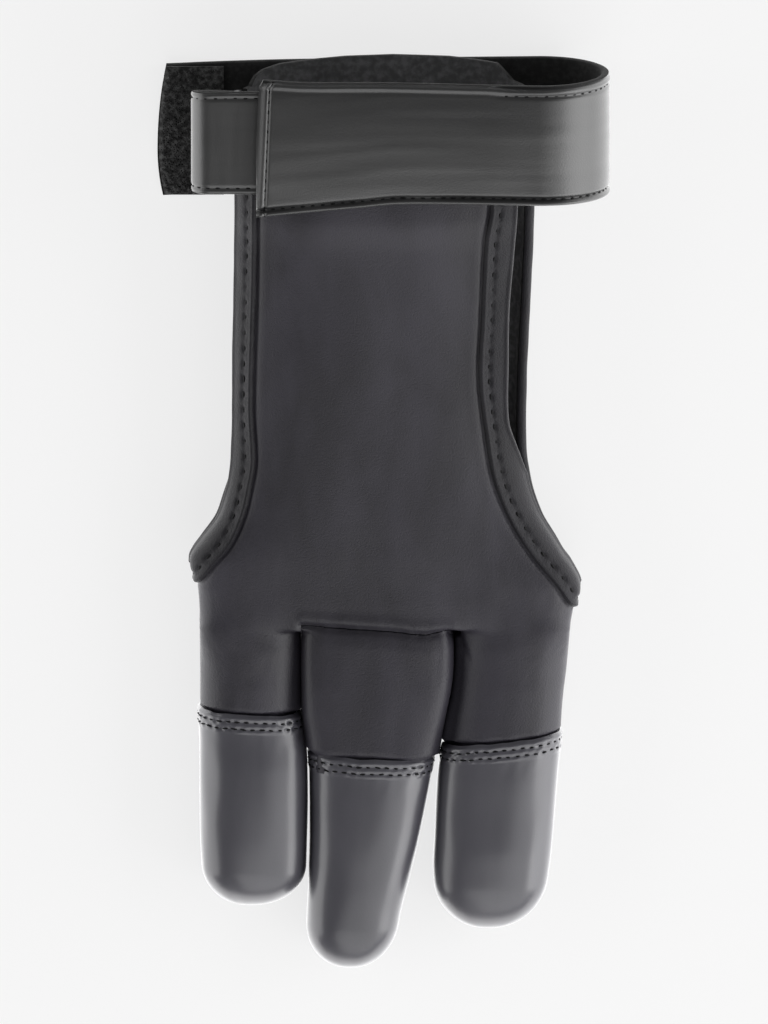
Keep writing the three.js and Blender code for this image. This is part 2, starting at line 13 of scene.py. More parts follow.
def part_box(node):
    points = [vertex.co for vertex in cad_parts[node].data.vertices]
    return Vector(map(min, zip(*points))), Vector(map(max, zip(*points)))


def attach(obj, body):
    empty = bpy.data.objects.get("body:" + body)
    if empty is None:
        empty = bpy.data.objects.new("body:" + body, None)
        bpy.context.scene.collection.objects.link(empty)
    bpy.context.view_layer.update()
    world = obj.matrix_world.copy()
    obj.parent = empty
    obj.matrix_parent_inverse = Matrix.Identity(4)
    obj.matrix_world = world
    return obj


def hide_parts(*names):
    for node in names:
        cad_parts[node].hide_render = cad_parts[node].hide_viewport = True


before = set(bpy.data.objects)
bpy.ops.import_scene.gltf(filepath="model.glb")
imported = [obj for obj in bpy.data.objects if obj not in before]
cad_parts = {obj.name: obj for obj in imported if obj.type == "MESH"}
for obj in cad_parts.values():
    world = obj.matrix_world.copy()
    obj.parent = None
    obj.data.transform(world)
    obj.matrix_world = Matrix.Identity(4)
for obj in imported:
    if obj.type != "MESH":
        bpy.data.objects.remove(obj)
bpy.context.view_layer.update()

MM = 0.001


def table(columns, *rows):
    """Rows of values under named columns."""
    return [dict(zip(columns.split(), row)) for row in rows]


# Leather and clearances
LEATHER = 1.2
STALL_LEATHER = 1.6
SEAT = 0.3

# Hand, from the finger crotch to the end of the wrist tongue
HAND_LENGTH = 133.2
HAND_HALF_WIDTH = 42.8
HAND_HEIGHT = 18.0
WRIST_HEIGHT = 26.4
WRIST_LIFT = 2.1
PALM_END = 128.0
SEAM_SHARE = 0.5
CROTCH_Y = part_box("back_panel")[1].y / MM - HAND_LENGTH

# Side cut-outs: where each starts at the side seam, and the share of the height of its two edges
SLOT_RUN = 26.0
SLOT_START = {-1: 15.0, 1: 10.5}
PALM_EDGE_SHARE = {-1: 0.62, 1: 0.6}
BACK_EDGE_SHARE = {-1: 0.25, 1: 0.42}

# Sections of the hand along its length, as in the solid model
HAND_SECTIONS = table(
    "along left right lift rise square",
    (0.0, -0.985, 1.0, 0.0, 0.0, 1.0),
    (0.0375, -0.985, 1.02, 0.0, 0.02, 0.9),
    (0.075, -0.995, 1.035, 0.0, 0.06, 0.75),
    (0.11, -1.016, 0.985, 0.0, 0.11, 0.55),
    (0.128, -1.01, 0.945, 0.0, 0.14, 0.45),
    (0.158, -0.945, 0.89, 0.0, 0.18, 0.35),
    (0.192, -0.87, 0.827, 0.0, 0.23, 0.25),
    (0.228, -0.832, 0.783, 0.0, 0.28, 0.18),
    (0.263, -0.81, 0.757, 0.0, 0.33, 0.12),
    (0.315, -0.799, 0.736, 0.0, 0.41, 0.08),
    (0.443, -0.79, 0.745, 0.0, 0.6, 0.04),
    (0.586, -0.783, 0.762, 0.0, 0.8, 0.0),
    (0.69, -0.779, 0.775, 0.35, 0.93, 0.0),
    (0.745, -0.778, 0.778, 1.0, 1.0, 0.0),
    (1.0, -0.778, 0.778, 1.0, 1.0, 0.0),
)
PALM_RIGHT_EDGE = table(
    "along across",
    (0.09, 1.3), (0.15, 0.95), (0.21, 0.83), (0.275, 0.748), (0.33, 0.697), (0.378, 0.659),
    (0.476, 0.656), (0.583, 0.661), (0.671, 0.682), (0.758, 0.703), (1.0, 0.72),
)
HEM_INNER_EDGE = {
    -1: table(
        "along across",
        (0.07, -1.05), (0.08, -0.99), (0.118, -0.902), (0.155, -0.811), (0.207, -0.74),
        (0.265, -0.699), (0.303, -0.683), (0.398, -0.694), (0.589, -0.678), (0.731, -0.672),
        (1.0, -0.67),
    ),
    1: table(
        "along across",
        (0.03, 1.05), (0.038, 1.01), (0.081, 0.925), (0.136, 0.79), (0.2, 0.672), (0.273, 0.586),
        (0.358, 0.542), (0.458, 0.511), (0.556, 0.521), (0.703, 0.542), (0.766, 0.57),
        (1.0, 0.58),
    ),
}
HEM_END = {-1: 10.0, 1: 4.5}
HEM_TURN = 42.0
BACK_HEM_END = 104.0
BACK_HEM_WIDTH = 4.7
TONGUE_TRIM = 0.5
TONGUE_END = table(
    "across along",
    (-1.3, 0.93), (-0.724, 0.952), (-0.697, 0.968), (-0.65, 0.978), (-0.554, 0.986),
    (-0.2, 0.997), (0.05, 1.0), (0.35, 0.997), (0.617, 0.989), (0.703, 0.961), (1.3, 0.93),
)

# Fingers: sheaths that run into smooth stalls. Mouth and tip are distances from the crotch, and
# tilt is how far the mouth leans along the finger for each millimetre across
FINGERS = dict(zip(("index", "middle", "ring"), table(
    "width height middle mouth tip tilt centre dome",
    (25.2, 17.5, -29.7, 20.0, 67.3, -0.05, -0.04, 0.79),
    (28.9, 18.5, -2.7, 30.2, 82.1, -0.055, -0.165, 0.78),
    (28.0, 17.5, 26.7, 26.6, 72.8, 0.11, -0.09, 0.74),
)))
STALL_EDGES = {
    "index": table(
        "along left right high",
        (0.0, -0.512, 0.433, 1.0),
        (0.12, -0.503, 0.47, 1.0),
        (0.3, -0.496, 0.488, 1.02),
        (0.62, -0.494, 0.488, 1.0),
        (0.82, -0.475, 0.475, 0.95),
        (1.0, -0.44, 0.45, 0.88),
    ),
    "middle": table(
        "along left right high",
        (0.0, -0.507, 0.507, 1.0),
        (0.1, -0.495, 0.474, 1.0),
        (0.37, -0.491, 0.388, 1.0),
        (0.58, -0.502, 0.301, 0.97),
        (0.75, -0.517, 0.232, 0.93),
        (1.0, -0.52, 0.17, 0.86),
    ),
    "ring": table(
        "along left right high",
        (0.0, -0.464, 0.518, 1.0),
        (0.16, -0.504, 0.493, 1.0),
        (0.55, -0.536, 0.436, 1.0),
        (0.67, -0.543, 0.415, 0.98),
        (0.8, -0.53, 0.385, 0.95),
        (1.0, -0.5, 0.34, 0.88),
    ),
}
DOME_POWER = 2.1
SHEATH_TUCK = 4.0
STALL_PROUD = 0.5

# X of each sheath's sides by the distance down from the crotch, and how square its shoulders are
SHEATH_EDGES = {
    "index": table(
        "down left right",
        (0.0, -42.1, -19.05), (15.0, -42.1, -19.0), (20.0, -42.1, -19.2), (26.0, -42.1, -19.2),
    ),
    "middle": table(
        "down left right",
        (0.0, -18.7, 16.2), (10.0, -18.65, 16.1), (15.0, -18.6, 15.6), (20.0, -18.4, 14.5),
        (25.0, -17.6, 13.3), (30.0, -17.0, 12.0), (37.0, -16.8, 10.5),
    ),
    "ring": table(
        "down left right",
        (0.0, 16.6, 42.8), (10.0, 16.5, 42.1), (18.0, 15.4, 41.2), (23.0, 14.5, 40.8),
        (26.6, 14.2, 40.7), (33.0, 14.0, 40.5),
    ),
}
SHEATH_POWERS = {"index": (2.5, 2.1), "middle": (5.0, 5.0), "ring": (2.1, 2.5)}

# Set-in panel of the middle finger: its base seam, and a crease beside its right corner
INSET_SEAM = table(
    "x y",
    (-19.1, 1.2), (-10.6, 0.62), (-3.7, 0.24), (2.8, -0.24), (8.0, -0.9), (10.6, -0.95),
    (14.9, -0.6), (16.6, -1.0),
)
PALM_CREASES = [((16.8, -1.0), (20.5, -9.0))]

# Wrist strap and cuff band
STRAP_WIDTH = 28.2
STRAP_THICKNESS = 1.8
STRAP_BEND_RADIUS = 15.5
STRAP_RIGHT = 51.75
STRAP_FLAP_END = -29.0
STRAP_TAIL_END = -51.75
STRAP_MIDDLE_Y = 118.3
STRAP_FRONT_Z = STRAP_THICKNESS / 2 + 2 * STRAP_BEND_RADIUS
STRAP_EDGES = table(
    "along low high",
    (0.0, -0.606, 0.546), (0.05, -0.567, 0.525), (0.115, -0.525, 0.523), (0.165, -0.493, 0.52),
    (0.32, -0.505, 0.495), (0.445, -0.525, 0.487), (0.565, -0.532, 0.482), (0.85, -0.628, 0.457),
    (1.0, -0.677, 0.422),
)
BAND_WIDTH = 24.0
BAND_THICKNESS = 1.8
BAND_FOLD_RADIUS = 3.4
BAND_LEFT = -43.9
BAND_HIDDEN_END = -16.0
BAND_MIDDLE_Y = 118.3
BAND_LAP = 3.0
BAND_EDGES = table(
    "along low high",
    (0.0, -0.48, 0.27), (0.33, -0.5, 0.43), (0.51, -0.5, 0.495), (1.0, -0.5, 0.5),
)
BAND_Z = STRAP_FRONT_Z - STRAP_THICKNESS / 2 - SEAT - BAND_THICKNESS / 2

# Stitching
STITCH_HEIGHT = 0.3
HEM_PITCH = 3.7
STALL_PITCH = 2.2
STRAP_PITCH = 2.3


def lerp(a, b, t):
    return a + (b - a) * t


def clamp(t):
    return min(1.0, max(0.0, t))


def smooth(a, b, value):
    """0 below a, 1 above b, and a soft step between."""
    t = clamp((value - a) / (b - a))
    return t * t * (3 - 2 * t)


def hump(distance, width):
    return math.exp(-((distance / width) ** 2))


def table_at(rows, along, column, by="along"):
    """A column's value at a place in another column, on a smooth curve through the table's rows."""
    along = min(max(along, rows[0][by]), rows[-1][by])
    i = 1
    while i < len(rows) - 1 and rows[i][by] < along:
        i += 1

    def slope(k):
        a = rows[max(k - 1, 0)]
        b = rows[min(k + 1, len(rows) - 1)]
        return (b[column] - a[column]) / (b[by] - a[by])

    p = rows[i - 1]
    q = rows[i]
    run = q[by] - p[by]
    t = (along - p[by]) / run
    return (
        p[column] * (1 + 2 * t) * (1 - t) ** 2
        + slope(i - 1) * run * t * (1 - t) ** 2
        + q[column] * t * t * (3 - 2 * t)
        + slope(i) * run * t * t * (t - 1)
    )


# Sections

ROUND_ABOVE = 2.5
ROUND_BELOW = 3.0
SQUARE = 5.5
PRESS = 1.04
ROOT_BLEND = 9.0


def ring_point(section, angle):
    """A point of a closed superellipse in the XZ plane, pressed flat where it rests."""
    c = math.cos(angle)
    s = math.sin(angle)
    if s > 0:
        power = 2 / section["power_right" if c > 0 else "power_left"]
    else:
        power = 2 / section["power_below"]
    reach = 1.0 if s > 0 else PRESS
    half_x = (section["right"] - section["left"]) / 2
    half_z = (section["high"] - section["low"]) / 2
    x = (section["left"] + section["right"]) / 2 + half_x * math.copysign(abs(c) ** power, c)
    z = (section["low"] + section["high"]) / 2 + half_z * reach * math.copysign(abs(s) ** power, s)
    return x, max(z, section["low"])


def inset_section(section, inset):
    return {
        **section,
        "left": section["left"] + inset,
        "right": section["right"] - inset,
        "low": section["low"] + inset,
        "high": section["high"] - inset,
    }


@functools.lru_cache(maxsize=None)
def hand_section_at(y):
    along = y / HAND_LENGTH
    low = table_at(HAND_SECTIONS, along, "lift") * WRIST_LIFT
    height = lerp(HAND_HEIGHT, WRIST_HEIGHT, table_at(HAND_SECTIONS, along, "rise"))
    square = table_at(HAND_SECTIONS, along, "square")
    return {
        "left": table_at(HAND_SECTIONS, along, "left") * HAND_HALF_WIDTH,
        "right": table_at(HAND_SECTIONS, along, "right") * HAND_HALF_WIDTH,
        "low": low,
        "high": low + height,
        "power_left": lerp(ROUND_ABOVE, SQUARE, square),
        "power_right": lerp(ROUND_ABOVE, SQUARE, square),
        "power_below": lerp(ROUND_BELOW, SQUARE, square),
    }


def hand_section(y):
    return hand_section_at(round(y, 2))


def stall_section(name, along):
    """Section of a stall's outside, domed to a point at the tip."""
    finger = FINGERS[name]
    rows = STALL_EDGES[name]
    past = max(0.0, (along - finger["dome"]) / (1 - finger["dome"]))
    dome = (1 - min(past, 1.0) ** DOME_POWER) ** (1 / DOME_POWER)
    height = finger["height"]
    centre = finger["centre"]
    middle_z = 0.4 * height
    left = table_at(rows, along, "left")
    right = table_at(rows, along, "right")
    return {
        "left": finger["middle"] + finger["width"] * lerp(centre, left, dome),
        "right": finger["middle"] + finger["width"] * lerp(centre, right, dome),
        "low": lerp(middle_z, 0.0, dome ** 0.7),
        "high": lerp(middle_z, height * table_at(rows, along, "high"), dome),
        "power_left": ROUND_ABOVE,
        "power_right": ROUND_ABOVE,
        "power_below": ROUND_BELOW,
    }


@functools.lru_cache(maxsize=None)
def sheath_section_at(name, y):
    finger = FINGERS[name]
    down = clamp(-y / finger["mouth"])
    root = smooth(ROOT_BLEND, 0.0, -y)
    left_power, right_power = SHEATH_POWERS[name]
    mouth_height = finger["height"] - STALL_PROUD
    return {
        "left": table_at(SHEATH_EDGES[name], -y, "left", "down"),
        "right": table_at(SHEATH_EDGES[name], -y, "right", "down"),
        "low": 0.0,
        "high": lerp(HAND_HEIGHT, mouth_height, smooth(0.0, 1.0, down)),
        "power_left": lerp(left_power, SQUARE, root) if name == "index" else left_power,
        "power_right": lerp(right_power, SQUARE, root) if name == "ring" else right_power,
        "power_below": lerp(ROUND_BELOW, SQUARE, root),
    }


def sheath_section(name, y):
    return sheath_section_at(name, round(y, 2))


# Mesh making

def new_piece(name, bm, materials):
    """Turns a finished bmesh into a piece in the row frame, in metres."""
    for vert in bm.verts:
        vert.co.z = max(vert.co.z, 0.0)
    bmesh.ops.translate(bm, verts=bm.verts, vec=(0, CROTCH_Y, 0))
    bmesh.ops.scale(bm, verts=bm.verts, vec=(MM, MM, MM))
    mesh = bpy.data.meshes.new(name)
    bm.to_mesh(mesh)
    bm.free()
    mesh.shade_smooth()
    piece = bpy.data.objects.new(name, mesh)
    bpy.context.scene.collection.objects.link(piece)
    for material in materials:
        mesh.materials.append(material)
    return piece


def grid(columns, rows, place, paint=None):
    """A grid whose corners run 0 to 1 both ways, each vertex moved to place(u, v)."""
    bm = bmesh.new()
    bmesh.ops.create_grid(bm, x_segments=columns, y_segments=rows, size=0.5)
    if paint:
        for face in bm.faces:
            middle = face.calc_center_median()
            face.material_index = paint(middle.x + 0.5, middle.y + 0.5)
    for vert in bm.verts:
        vert.co = place(vert.co.x + 0.5, vert.co.y + 0.5)
    return bm


def close_up(bm, distance=0.002):
    bmesh.ops.remove_doubles(bm, verts=bm.verts, dist=distance)
    open_edges = [e for e in bm.edges if e.is_boundary]
    if open_edges:
        bmesh.ops.holes_fill(bm, edges=open_edges, sides=0)
    bmesh.ops.recalc_face_normals(bm, faces=bm.faces)
    return bm


def apply_modifiers(piece):
    depsgraph = bpy.context.evaluated_depsgraph_get()
    baked = bpy.data.meshes.new_from_object(piece.evaluated_get(depsgraph))
    piece.modifiers.clear()
    old = piece.data
    piece.data = baked
    bpy.data.meshes.remove(old)


def add_edge(piece, width, segments):
    edge = piece.modifiers.new("edge", "BEVEL")
    edge.width = width * MM
    edge.segments = segments
    edge.limit_method = "ANGLE"
    edge.angle_limit = math.radians(50)


def add_wall(piece, thickness, bevel=0.25, dark_rim=0):
    """Leather's thickness, let in from the grain side, with the flesh side in a finish of its own."""
    wall = piece.modifiers.new("wall", "SOLIDIFY")
    wall.thickness = thickness * MM
    wall.offset = -1
    wall.material_offset = 1
    wall.material_offset_rim = dark_rim
    add_edge(piece, bevel, 2)


# The whole skin of the hand and sheaths

VOXEL = 0.7
SPREAD = 5.0
WRIST_EXTRA = 6.0
TUBE_AROUND = 140
TUBE_ALONG = 110
TUBE_START = 5.0
TUBE_EXTRA = 2.0
TUBE_SINK = 0.25
FULLNESS = 0.2
GAP_PULL = (2.2, 1.0)
GAP_HALF = 0.12
ROOT_REACH = (-5, 4)
ROOT_ROUNDS = 8
KNUCKLE_REACH = (-13, 10)
KNUCKLE_FLOOR = 11
KNUCKLE_MARGIN = 2.4
KNUCKLE_ROUNDS = 90
SKIN_ROUNDS = 3


def spread_at(y):
    """How far the outer fingers stand off sideways while the skin is made in one."""
    return clamp(-y / SPREAD) * SPREAD


def gap_lines(y):
    """X of the two gaps between the fingers, at a distance along them."""
    ring_left = sheath_section("ring", y)["left"]
    middle = sheath_section("middle", y)
    index_right = sheath_section("index", y)["right"]
    return (index_right + middle["left"]) / 2, (ring_left + middle["right"]) / 2


def leather_waves(co):
    """How far soft leather stands off its plain form: broad slack, and fine creases at the fingers."""
    x, y, z = co
    broad = noise.noise(Vector((x / 24, y / 34, z / 24 + 3.1)))
    middle = noise.noise(Vector((x / 10 + 7.7, y / 17, z / 10)))
    fold = noise.noise(Vector((x / 4.5, y / 11 + 2.2, z / 4.5)))
    near_fingers = smooth(35.0, 5.0, y)
    return FULLNESS + 0.3 * broad + 0.12 * middle + (0.02 + 0.06 * near_fingers) * fold


def sheath_tuck(co):
    """How far a sheath is drawn in under the mouth of its stall."""
    left, right = gap_lines(co.y)
    name = "index" if co.x < left else "middle" if co.x < right else "ring"
    past = -co.y - stall_mouth(name, co.x)
    return (STALL_LEATHER + SEAT - STALL_PROUD) * smooth(-0.9, 0.2, past)


def stall_mouth(name, x):
    """Distance of a stall's mouth from the crotch, which leans across the finger."""
    finger = FINGERS[name]
    return finger["mouth"] - finger["tilt"] * (x - finger["middle"])


def add_tube(parts, section_at, start, end, side):
    """A closed tube along Y through the sections between two places, added to the parts."""
    def place(u, v):
        y = lerp(start, end, v)
        sunk = TUBE_SINK * max(0.0, y) if section_at is not hand_section else 0.0
        x, z = ring_point(inset_section(section_at(y), sunk), 2 * math.pi * u)
        return Vector((x + side * spread_at(y), y, z))

    tube = close_up(grid(TUBE_AROUND, TUBE_ALONG, place))
    mesh = bpy.data.meshes.new("tube")
    tube.to_mesh(mesh)
    tube.free()
    parts.from_mesh(mesh)
    bpy.data.meshes.remove(mesh)


def blended_tubes():
    """The hand and its three sheaths, grown together into one even mesh."""
    parts = bmesh.new()
    add_tube(parts, hand_section, 0.0, HAND_LENGTH + WRIST_EXTRA, 0)
    for name, side in (("index", -1), ("middle", 0), ("ring", 1)):
        end = -FINGERS[name]["mouth"] - SHEATH_TUCK - TUBE_EXTRA
        add_tube(parts, lambda y, n=name: sheath_section(n, y), TUBE_START, end, side)
    mesh = bpy.data.meshes.new("skin")
    parts.to_mesh(mesh)
    parts.free()
    body = bpy.data.objects.new("skin", mesh)
    bpy.context.scene.collection.objects.link(body)
    remesh = body.modifiers.new("blend", "REMESH")
    remesh.mode = "VOXEL"
    remesh.voxel_size = VOXEL
    apply_modifiers(body)
    bm = bmesh.new()
    bm.from_mesh(body.data)
    bpy.data.objects.remove(body)
    bmesh.ops.remove_doubles(bm, verts=bm.verts, dist=0.05)
    return bm


def bring_fingers_together(bm):
    """Moves the outer fingers back in, and draws the leather of each gap towards its middle."""
    for vert in bm.verts:
        if vert.co.y < 0:
            left, right = gap_lines(vert.co.y)
            shift = spread_at(vert.co.y)
            if vert.co.x < left - shift / 2:
                vert.co.x += shift
            elif vert.co.x > right + shift / 2:
                vert.co.x -= shift
    for vert in bm.verts:
        if vert.co.y < -0.5:
            line = min(gap_lines(vert.co.y), key=lambda x: abs(x - vert.co.x))
            off = vert.co.x - line
            low_half = smooth(14.0, 11.0, vert.co.z) * smooth(1.0, 3.0, vert.co.z)
            near = smooth(*GAP_PULL, abs(off)) * low_half * smooth(-0.5, -2.5, vert.co.y)
            vert.co.x = line + lerp(off, math.copysign(GAP_HALF, off), near)


def soften(bm, verts, rounds, axes):
    """Evens vertices out among their neighbours, along the named axes alone."""
    x, y, z = (axis in axes for axis in "xyz")
    for _ in range(rounds):
        bmesh.ops.smooth_vert(bm, verts=verts, factor=0.5, use_axis_x=x, use_axis_y=y, use_axis_z=z)


def skin_mesh():
    """The outside of the hand and sheaths in one mesh, with the fingers' roots blended in."""
    bm = blended_tubes()
    bring_fingers_together(bm)
    roots = [v for v in bm.verts if ROOT_REACH[0] < v.co.y < ROOT_REACH[1]]
    soften(bm, roots, ROOT_ROUNDS, "yz")
    soften(bm, [v for v in bm.verts if on_knuckles(v.co)], KNUCKLE_ROUNDS, "z")
    soften(bm, bm.verts, SKIN_ROUNDS, "xyz")
    bm.normal_update()
    offsets = [leather_waves(v.co) - (sheath_tuck(v.co) if v.co.y < -10 else 0.0) for v in bm.verts]
    for vert, offset in zip(bm.verts, offsets):
        vert.co += vert.normal * offset
        vert.co.z = max(vert.co.z, 0.0)
    refine(bm, lambda co: co.z > 8 and (near_inset_seam(co) or near_hem(co)))
    return bm


def on_knuckles(co):
    """The upper side of the fingers' roots, clear of the gaps between them."""
    if not KNUCKLE_REACH[0] < co.y < KNUCKLE_REACH[1] or co.z < KNUCKLE_FLOOR:
        return False
    return co.y > 0.5 or min(abs(co.x - x) for x in gap_lines(min(co.y, 0.0))) > KNUCKLE_MARGIN


def near_inset_seam(co):
    return abs(co.y - inset_seam_y(co.x)) < 2.6 and INSET_SEAM[0]["x"] - 1 < co.x < INSET_SEAM[-1]["x"] + 1


def near_hem(co):
    return co.y > 0 and -0.8 < hem_distance(co) < 1.8


def refine(bm, near):
    """Halves the faces of the leather where a seam will be pressed into it."""
    close = {v for v in bm.verts if near(v.co)}
    edges = [e for e in bm.edges if e.verts[0] in close and e.verts[1] in close]
    bmesh.ops.subdivide_edges(bm, edges=edges, cuts=1, use_grid_fill=True)


def score(bm, value):
    """Cuts new edges into a mesh where value(place) is zero, and leaves every face in."""
    values = {v: value(v.co) for v in bm.verts}
    fresh = []
    for edge in [e for e in bm.edges if values[e.verts[0]] * values[e.verts[1]] < 0]:
        a, b = edge.verts
        share = values[a] / (values[a] - values[b])
        _, vert = bmesh.utils.edge_split(edge, a, share)
        fresh.append(vert)
    bmesh.ops.connect_verts(bm, verts=fresh)


def keep(bm, wanted):
    """Deletes each face whose middle isn't wanted, and what is left loose."""
    gone = [f for f in bm.faces if not wanted(f.calc_center_median())]
    bmesh.ops.delete(bm, geom=gone, context="FACES")


def edge_height(side, y, share):
    """Height of a cut edge, which leaves the side seam where its slot starts."""
    section = hand_section(max(y, 0.0))
    opened = smooth(SLOT_START[side], SLOT_START[side] + SLOT_RUN, y)
    return lerp(section["low"], section["high"], lerp(SEAM_SHARE, share[side], opened))


def over_edge(share, gap):
    def value(co):
        return co.z - edge_height(-1 if co.x < 0 else 1, co.y, share) - gap

    return value


def right_of_palm(co):
    if co.x < 0 or co.z < 8:
        return 30.0
    return table_at(PALM_RIGHT_EDGE, co.y / HAND_LENGTH, "across") * HAND_HALF_WIDTH - co.x


def inset_seam_y(x):
    return table_at(INSET_SEAM, x, "y", "x")


def inset_side(side):
    def value(co):
        lines = gap_lines(min(co.y, 0.0))
        return side * (lines[(side + 1) // 2] - co.x)

    return value


def tongue_end(co):
    across = co.x / HAND_HALF_WIDTH
    for a, b in zip(TONGUE_END, TONGUE_END[1:]):
        if across <= b["across"]:
            share = (across - a["across"]) / (b["across"] - a["across"])
            return lerp(a["along"], b["along"], share) * HAND_LENGTH - TONGUE_TRIM - co.y
    return -1.0


@functools.lru_cache(maxsize=None)
def hem_inner_at(side, y):
    """X of a palm hem's inner edge, and the cosine of its slant to the glove's length."""
    x = table_at(HEM_INNER_EDGE[side], y / HAND_LENGTH, "across") * HAND_HALF_WIDTH
    next_x = table_at(HEM_INNER_EDGE[side], (y + 0.5) / HAND_LENGTH, "across") * HAND_HALF_WIDTH
    return x, 1 / math.hypot(1, (next_x - x) / 0.5)


def hem_distance(co):
    """Distance from a place on the palm to the nearer hem's inner edge, less than 0 under the hem."""
    side = -1 if co.x < 0 else 1
    x, cosine = hem_inner_at(side, round(co.y, 2))
    return side * (x - co.x) * cosine


def distance_to_crease(co, crease):
    start, end = crease
    run = Vector(end) - Vector(start)
    place = Vector((co.x, co.y)) - Vector(start)
    share = clamp(place.dot(run) / run.length_squared)
    return (place - run * share).length, share


def palm_relief(co):
    """The palm's turn down into the inset's seam and beside its hems, and creases at the ring finger."""
    relief = 0.0
    if co.z > 9:
        past = co.y - inset_seam_y(co.x)
        across = smooth(INSET_SEAM[0]["x"] - 1.0, INSET_SEAM[0]["x"] + 0.6, co.x)
        across *= smooth(INSET_SEAM[-1]["x"] + 1.2, INSET_SEAM[-1]["x"] - 0.4, co.x)
        ripple = 1 + 0.35 * noise.noise(Vector((co.x / 2.1, 4.2, 0)))
        if abs(past) < 6:
            relief += across * ripple * (0.3 * hump(past - 2.1, 1.3) - 1.1 * hump(past, 1.0))
    if co.y > min(HEM_END.values()) and co.z > 9:
        inside = hem_distance(co)
        relief += 0.1 * hump(inside - 1.7, 1.1) - 0.25 * hump(inside - 0.1, 0.4)
    for crease in PALM_CREASES:
        distance, share = distance_to_crease(co, crease)
        relief -= 0.5 * hump(distance, 0.7) * (1 - share * share) * smooth(9, 12, co.z)
    return relief - side_seam_depth(co)


def inset_relief(co):
    """The inset starts low at its seam and rises over a few millimetres, with soft edges."""
    past = inset_seam_y(co.x) - co.y
    ripple = 1 + 0.35 * noise.noise(Vector((co.x / 2.1, 4.2, 0)))
    relief = -0.6 * smooth(4.5, 0.0, past) - 0.7 * ripple * hump(past, 0.9)
    return relief * smooth(9, 13, co.z) - side_seam_depth(co)


def side_seam_depth(co):
    side = -1 if co.x < 0 else 1
    if co.y > SLOT_START[side]:
        return 0.0
    return 0.45 * hump(co.z - edge_height(side, co.y, PALM_EDGE_SHARE), 0.7)


def press(bm, relief):
    bm.normal_update()
    offsets = [relief(v.co) for v in bm.verts]
    for vert, offset in zip(bm.verts, offsets):
        vert.co += vert.normal * offset


def in_inset(co):
    return (
        co.z > 7
        and co.y < inset_seam_y(co.x)
        and inset_side(-1)(co) > 0
        and inset_side(1)(co) > 0
    )


def sheath_ends(co):
    left, right = gap_lines(min(co.y, 0.0))
    name = "index" if co.x < left else "middle" if co.x < right else "ring"
    return co.y + FINGERS[name]["mouth"] + SHEATH_TUCK


def palm_panel(skin, materials):
    bm = skin.copy()
    gap = SEAT / 2
    above = over_edge(PALM_EDGE_SHARE, gap)
    score(bm, above)
    keep(bm, lambda c: above(c) > 0)
    score(bm, right_of_palm)
    keep(bm, lambda c: right_of_palm(c) > 0 and c.y < PALM_END)
    score(bm, lambda c: c.y - inset_seam_y(c.x) - gap)
    score(bm, inset_side(-1))
    score(bm, inset_side(1))
    keep(bm, lambda c: not in_inset(c - Vector((0, gap, 0))) and sheath_ends(c) > 0)
    press(bm, palm_relief)
    piece = new_piece("palm", bm, materials)
    add_wall(piece, LEATHER)
    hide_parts("palm_panel")
    return piece


def middle_inset(skin, materials):
    bm = skin.copy()
    gap = SEAT / 2
    bounds = [over_edge(PALM_EDGE_SHARE, gap), lambda c: inset_seam_y(c.x) - gap - c.y]
    bounds += [inset_side(-1), inset_side(1)]
    for bound in bounds:
        score(bm, bound)
    keep(bm, lambda c: all(bound(c) > 0 for bound in bounds) and sheath_ends(c) > 0)
    press(bm, inset_relief)
    piece = new_piece("middle_panel", bm, materials)
    add_wall(piece, LEATHER)
    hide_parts("middle_inset")
    return piece


def back_panel(skin, materials):
    bm = skin.copy()
    above = over_edge(BACK_EDGE_SHARE, -SEAT / 2)
    score(bm, above)
    keep(bm, lambda c: above(c) < 0)
    score(bm, tongue_end)
    keep(bm, lambda c: tongue_end(c) > 0 and sheath_ends(c) > 0)
    press(bm, lambda co: -side_seam_depth(co))
    piece = new_piece("back", bm, materials)
    add_wall(piece, LEATHER, dark_rim=2)
    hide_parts("back_panel")
    return piece


# Stitches

def stitch(bm, middle, along, up, length, width):
    """One stitch: a small rounded bar that dips at both ends."""
    side = up.cross(along).normalized()
    made = bmesh.ops.create_uvsphere(bm, u_segments=6, v_segments=5, radius=0.5)["verts"]
    for vert in made:
        lift = -0.18 * (2 * vert.co.z) ** 2
        vert.co = (
            middle
            + along * vert.co.z * length
            + side * vert.co.x * width
            + up * (vert.co.y * STITCH_HEIGHT + lift)
        )


def sew(bm, path, pitch, length, width, start=0.5):
    """Stitches at even steps along a path, whose points each carry the way up from the leather."""
    walked = 0.0
    wanted = pitch * start
    for (a, up_a), (b, _) in zip(path, path[1:]):
        step = (b - a).length
        while step > 0 and walked + step >= wanted:
            spot = a.lerp(b, (wanted - walked) / step)
            run = (b - a).normalized()
            side = up_a.cross(run).normalized()
            along = (run + side * random.uniform(-0.14, 0.14)).normalized()
            spot = spot + side * random.uniform(-0.07, 0.07) - up_a * random.uniform(0.0, 0.1)
            stitch(bm, spot, along, up_a, length * random.uniform(0.75, 1.15), width)
            wanted += pitch
        walked += step


def steps_walked(points):
    walked = [0.0]
    for a, b in zip(points, points[1:]):
        walked.append(walked[-1] + (b - a).length)
    return walked


def pull(walked, pitch, start=0.5):
    """1 where a stitch draws the leather in, 0 halfway to the next."""
    return 0.5 + 0.5 * math.cos(2 * math.pi * (walked / pitch - start))


# Stalls

STALL_AROUND = 168
STALL_ALONG = 100
DOME_ROWS = 0.34
BAND_ROWS = 0.24
BAND_LENGTH = 5.0
ROWS_FROM_MOUTH = (1.75, 3.35)
ROW_STARTS = (0.5, 1.0)


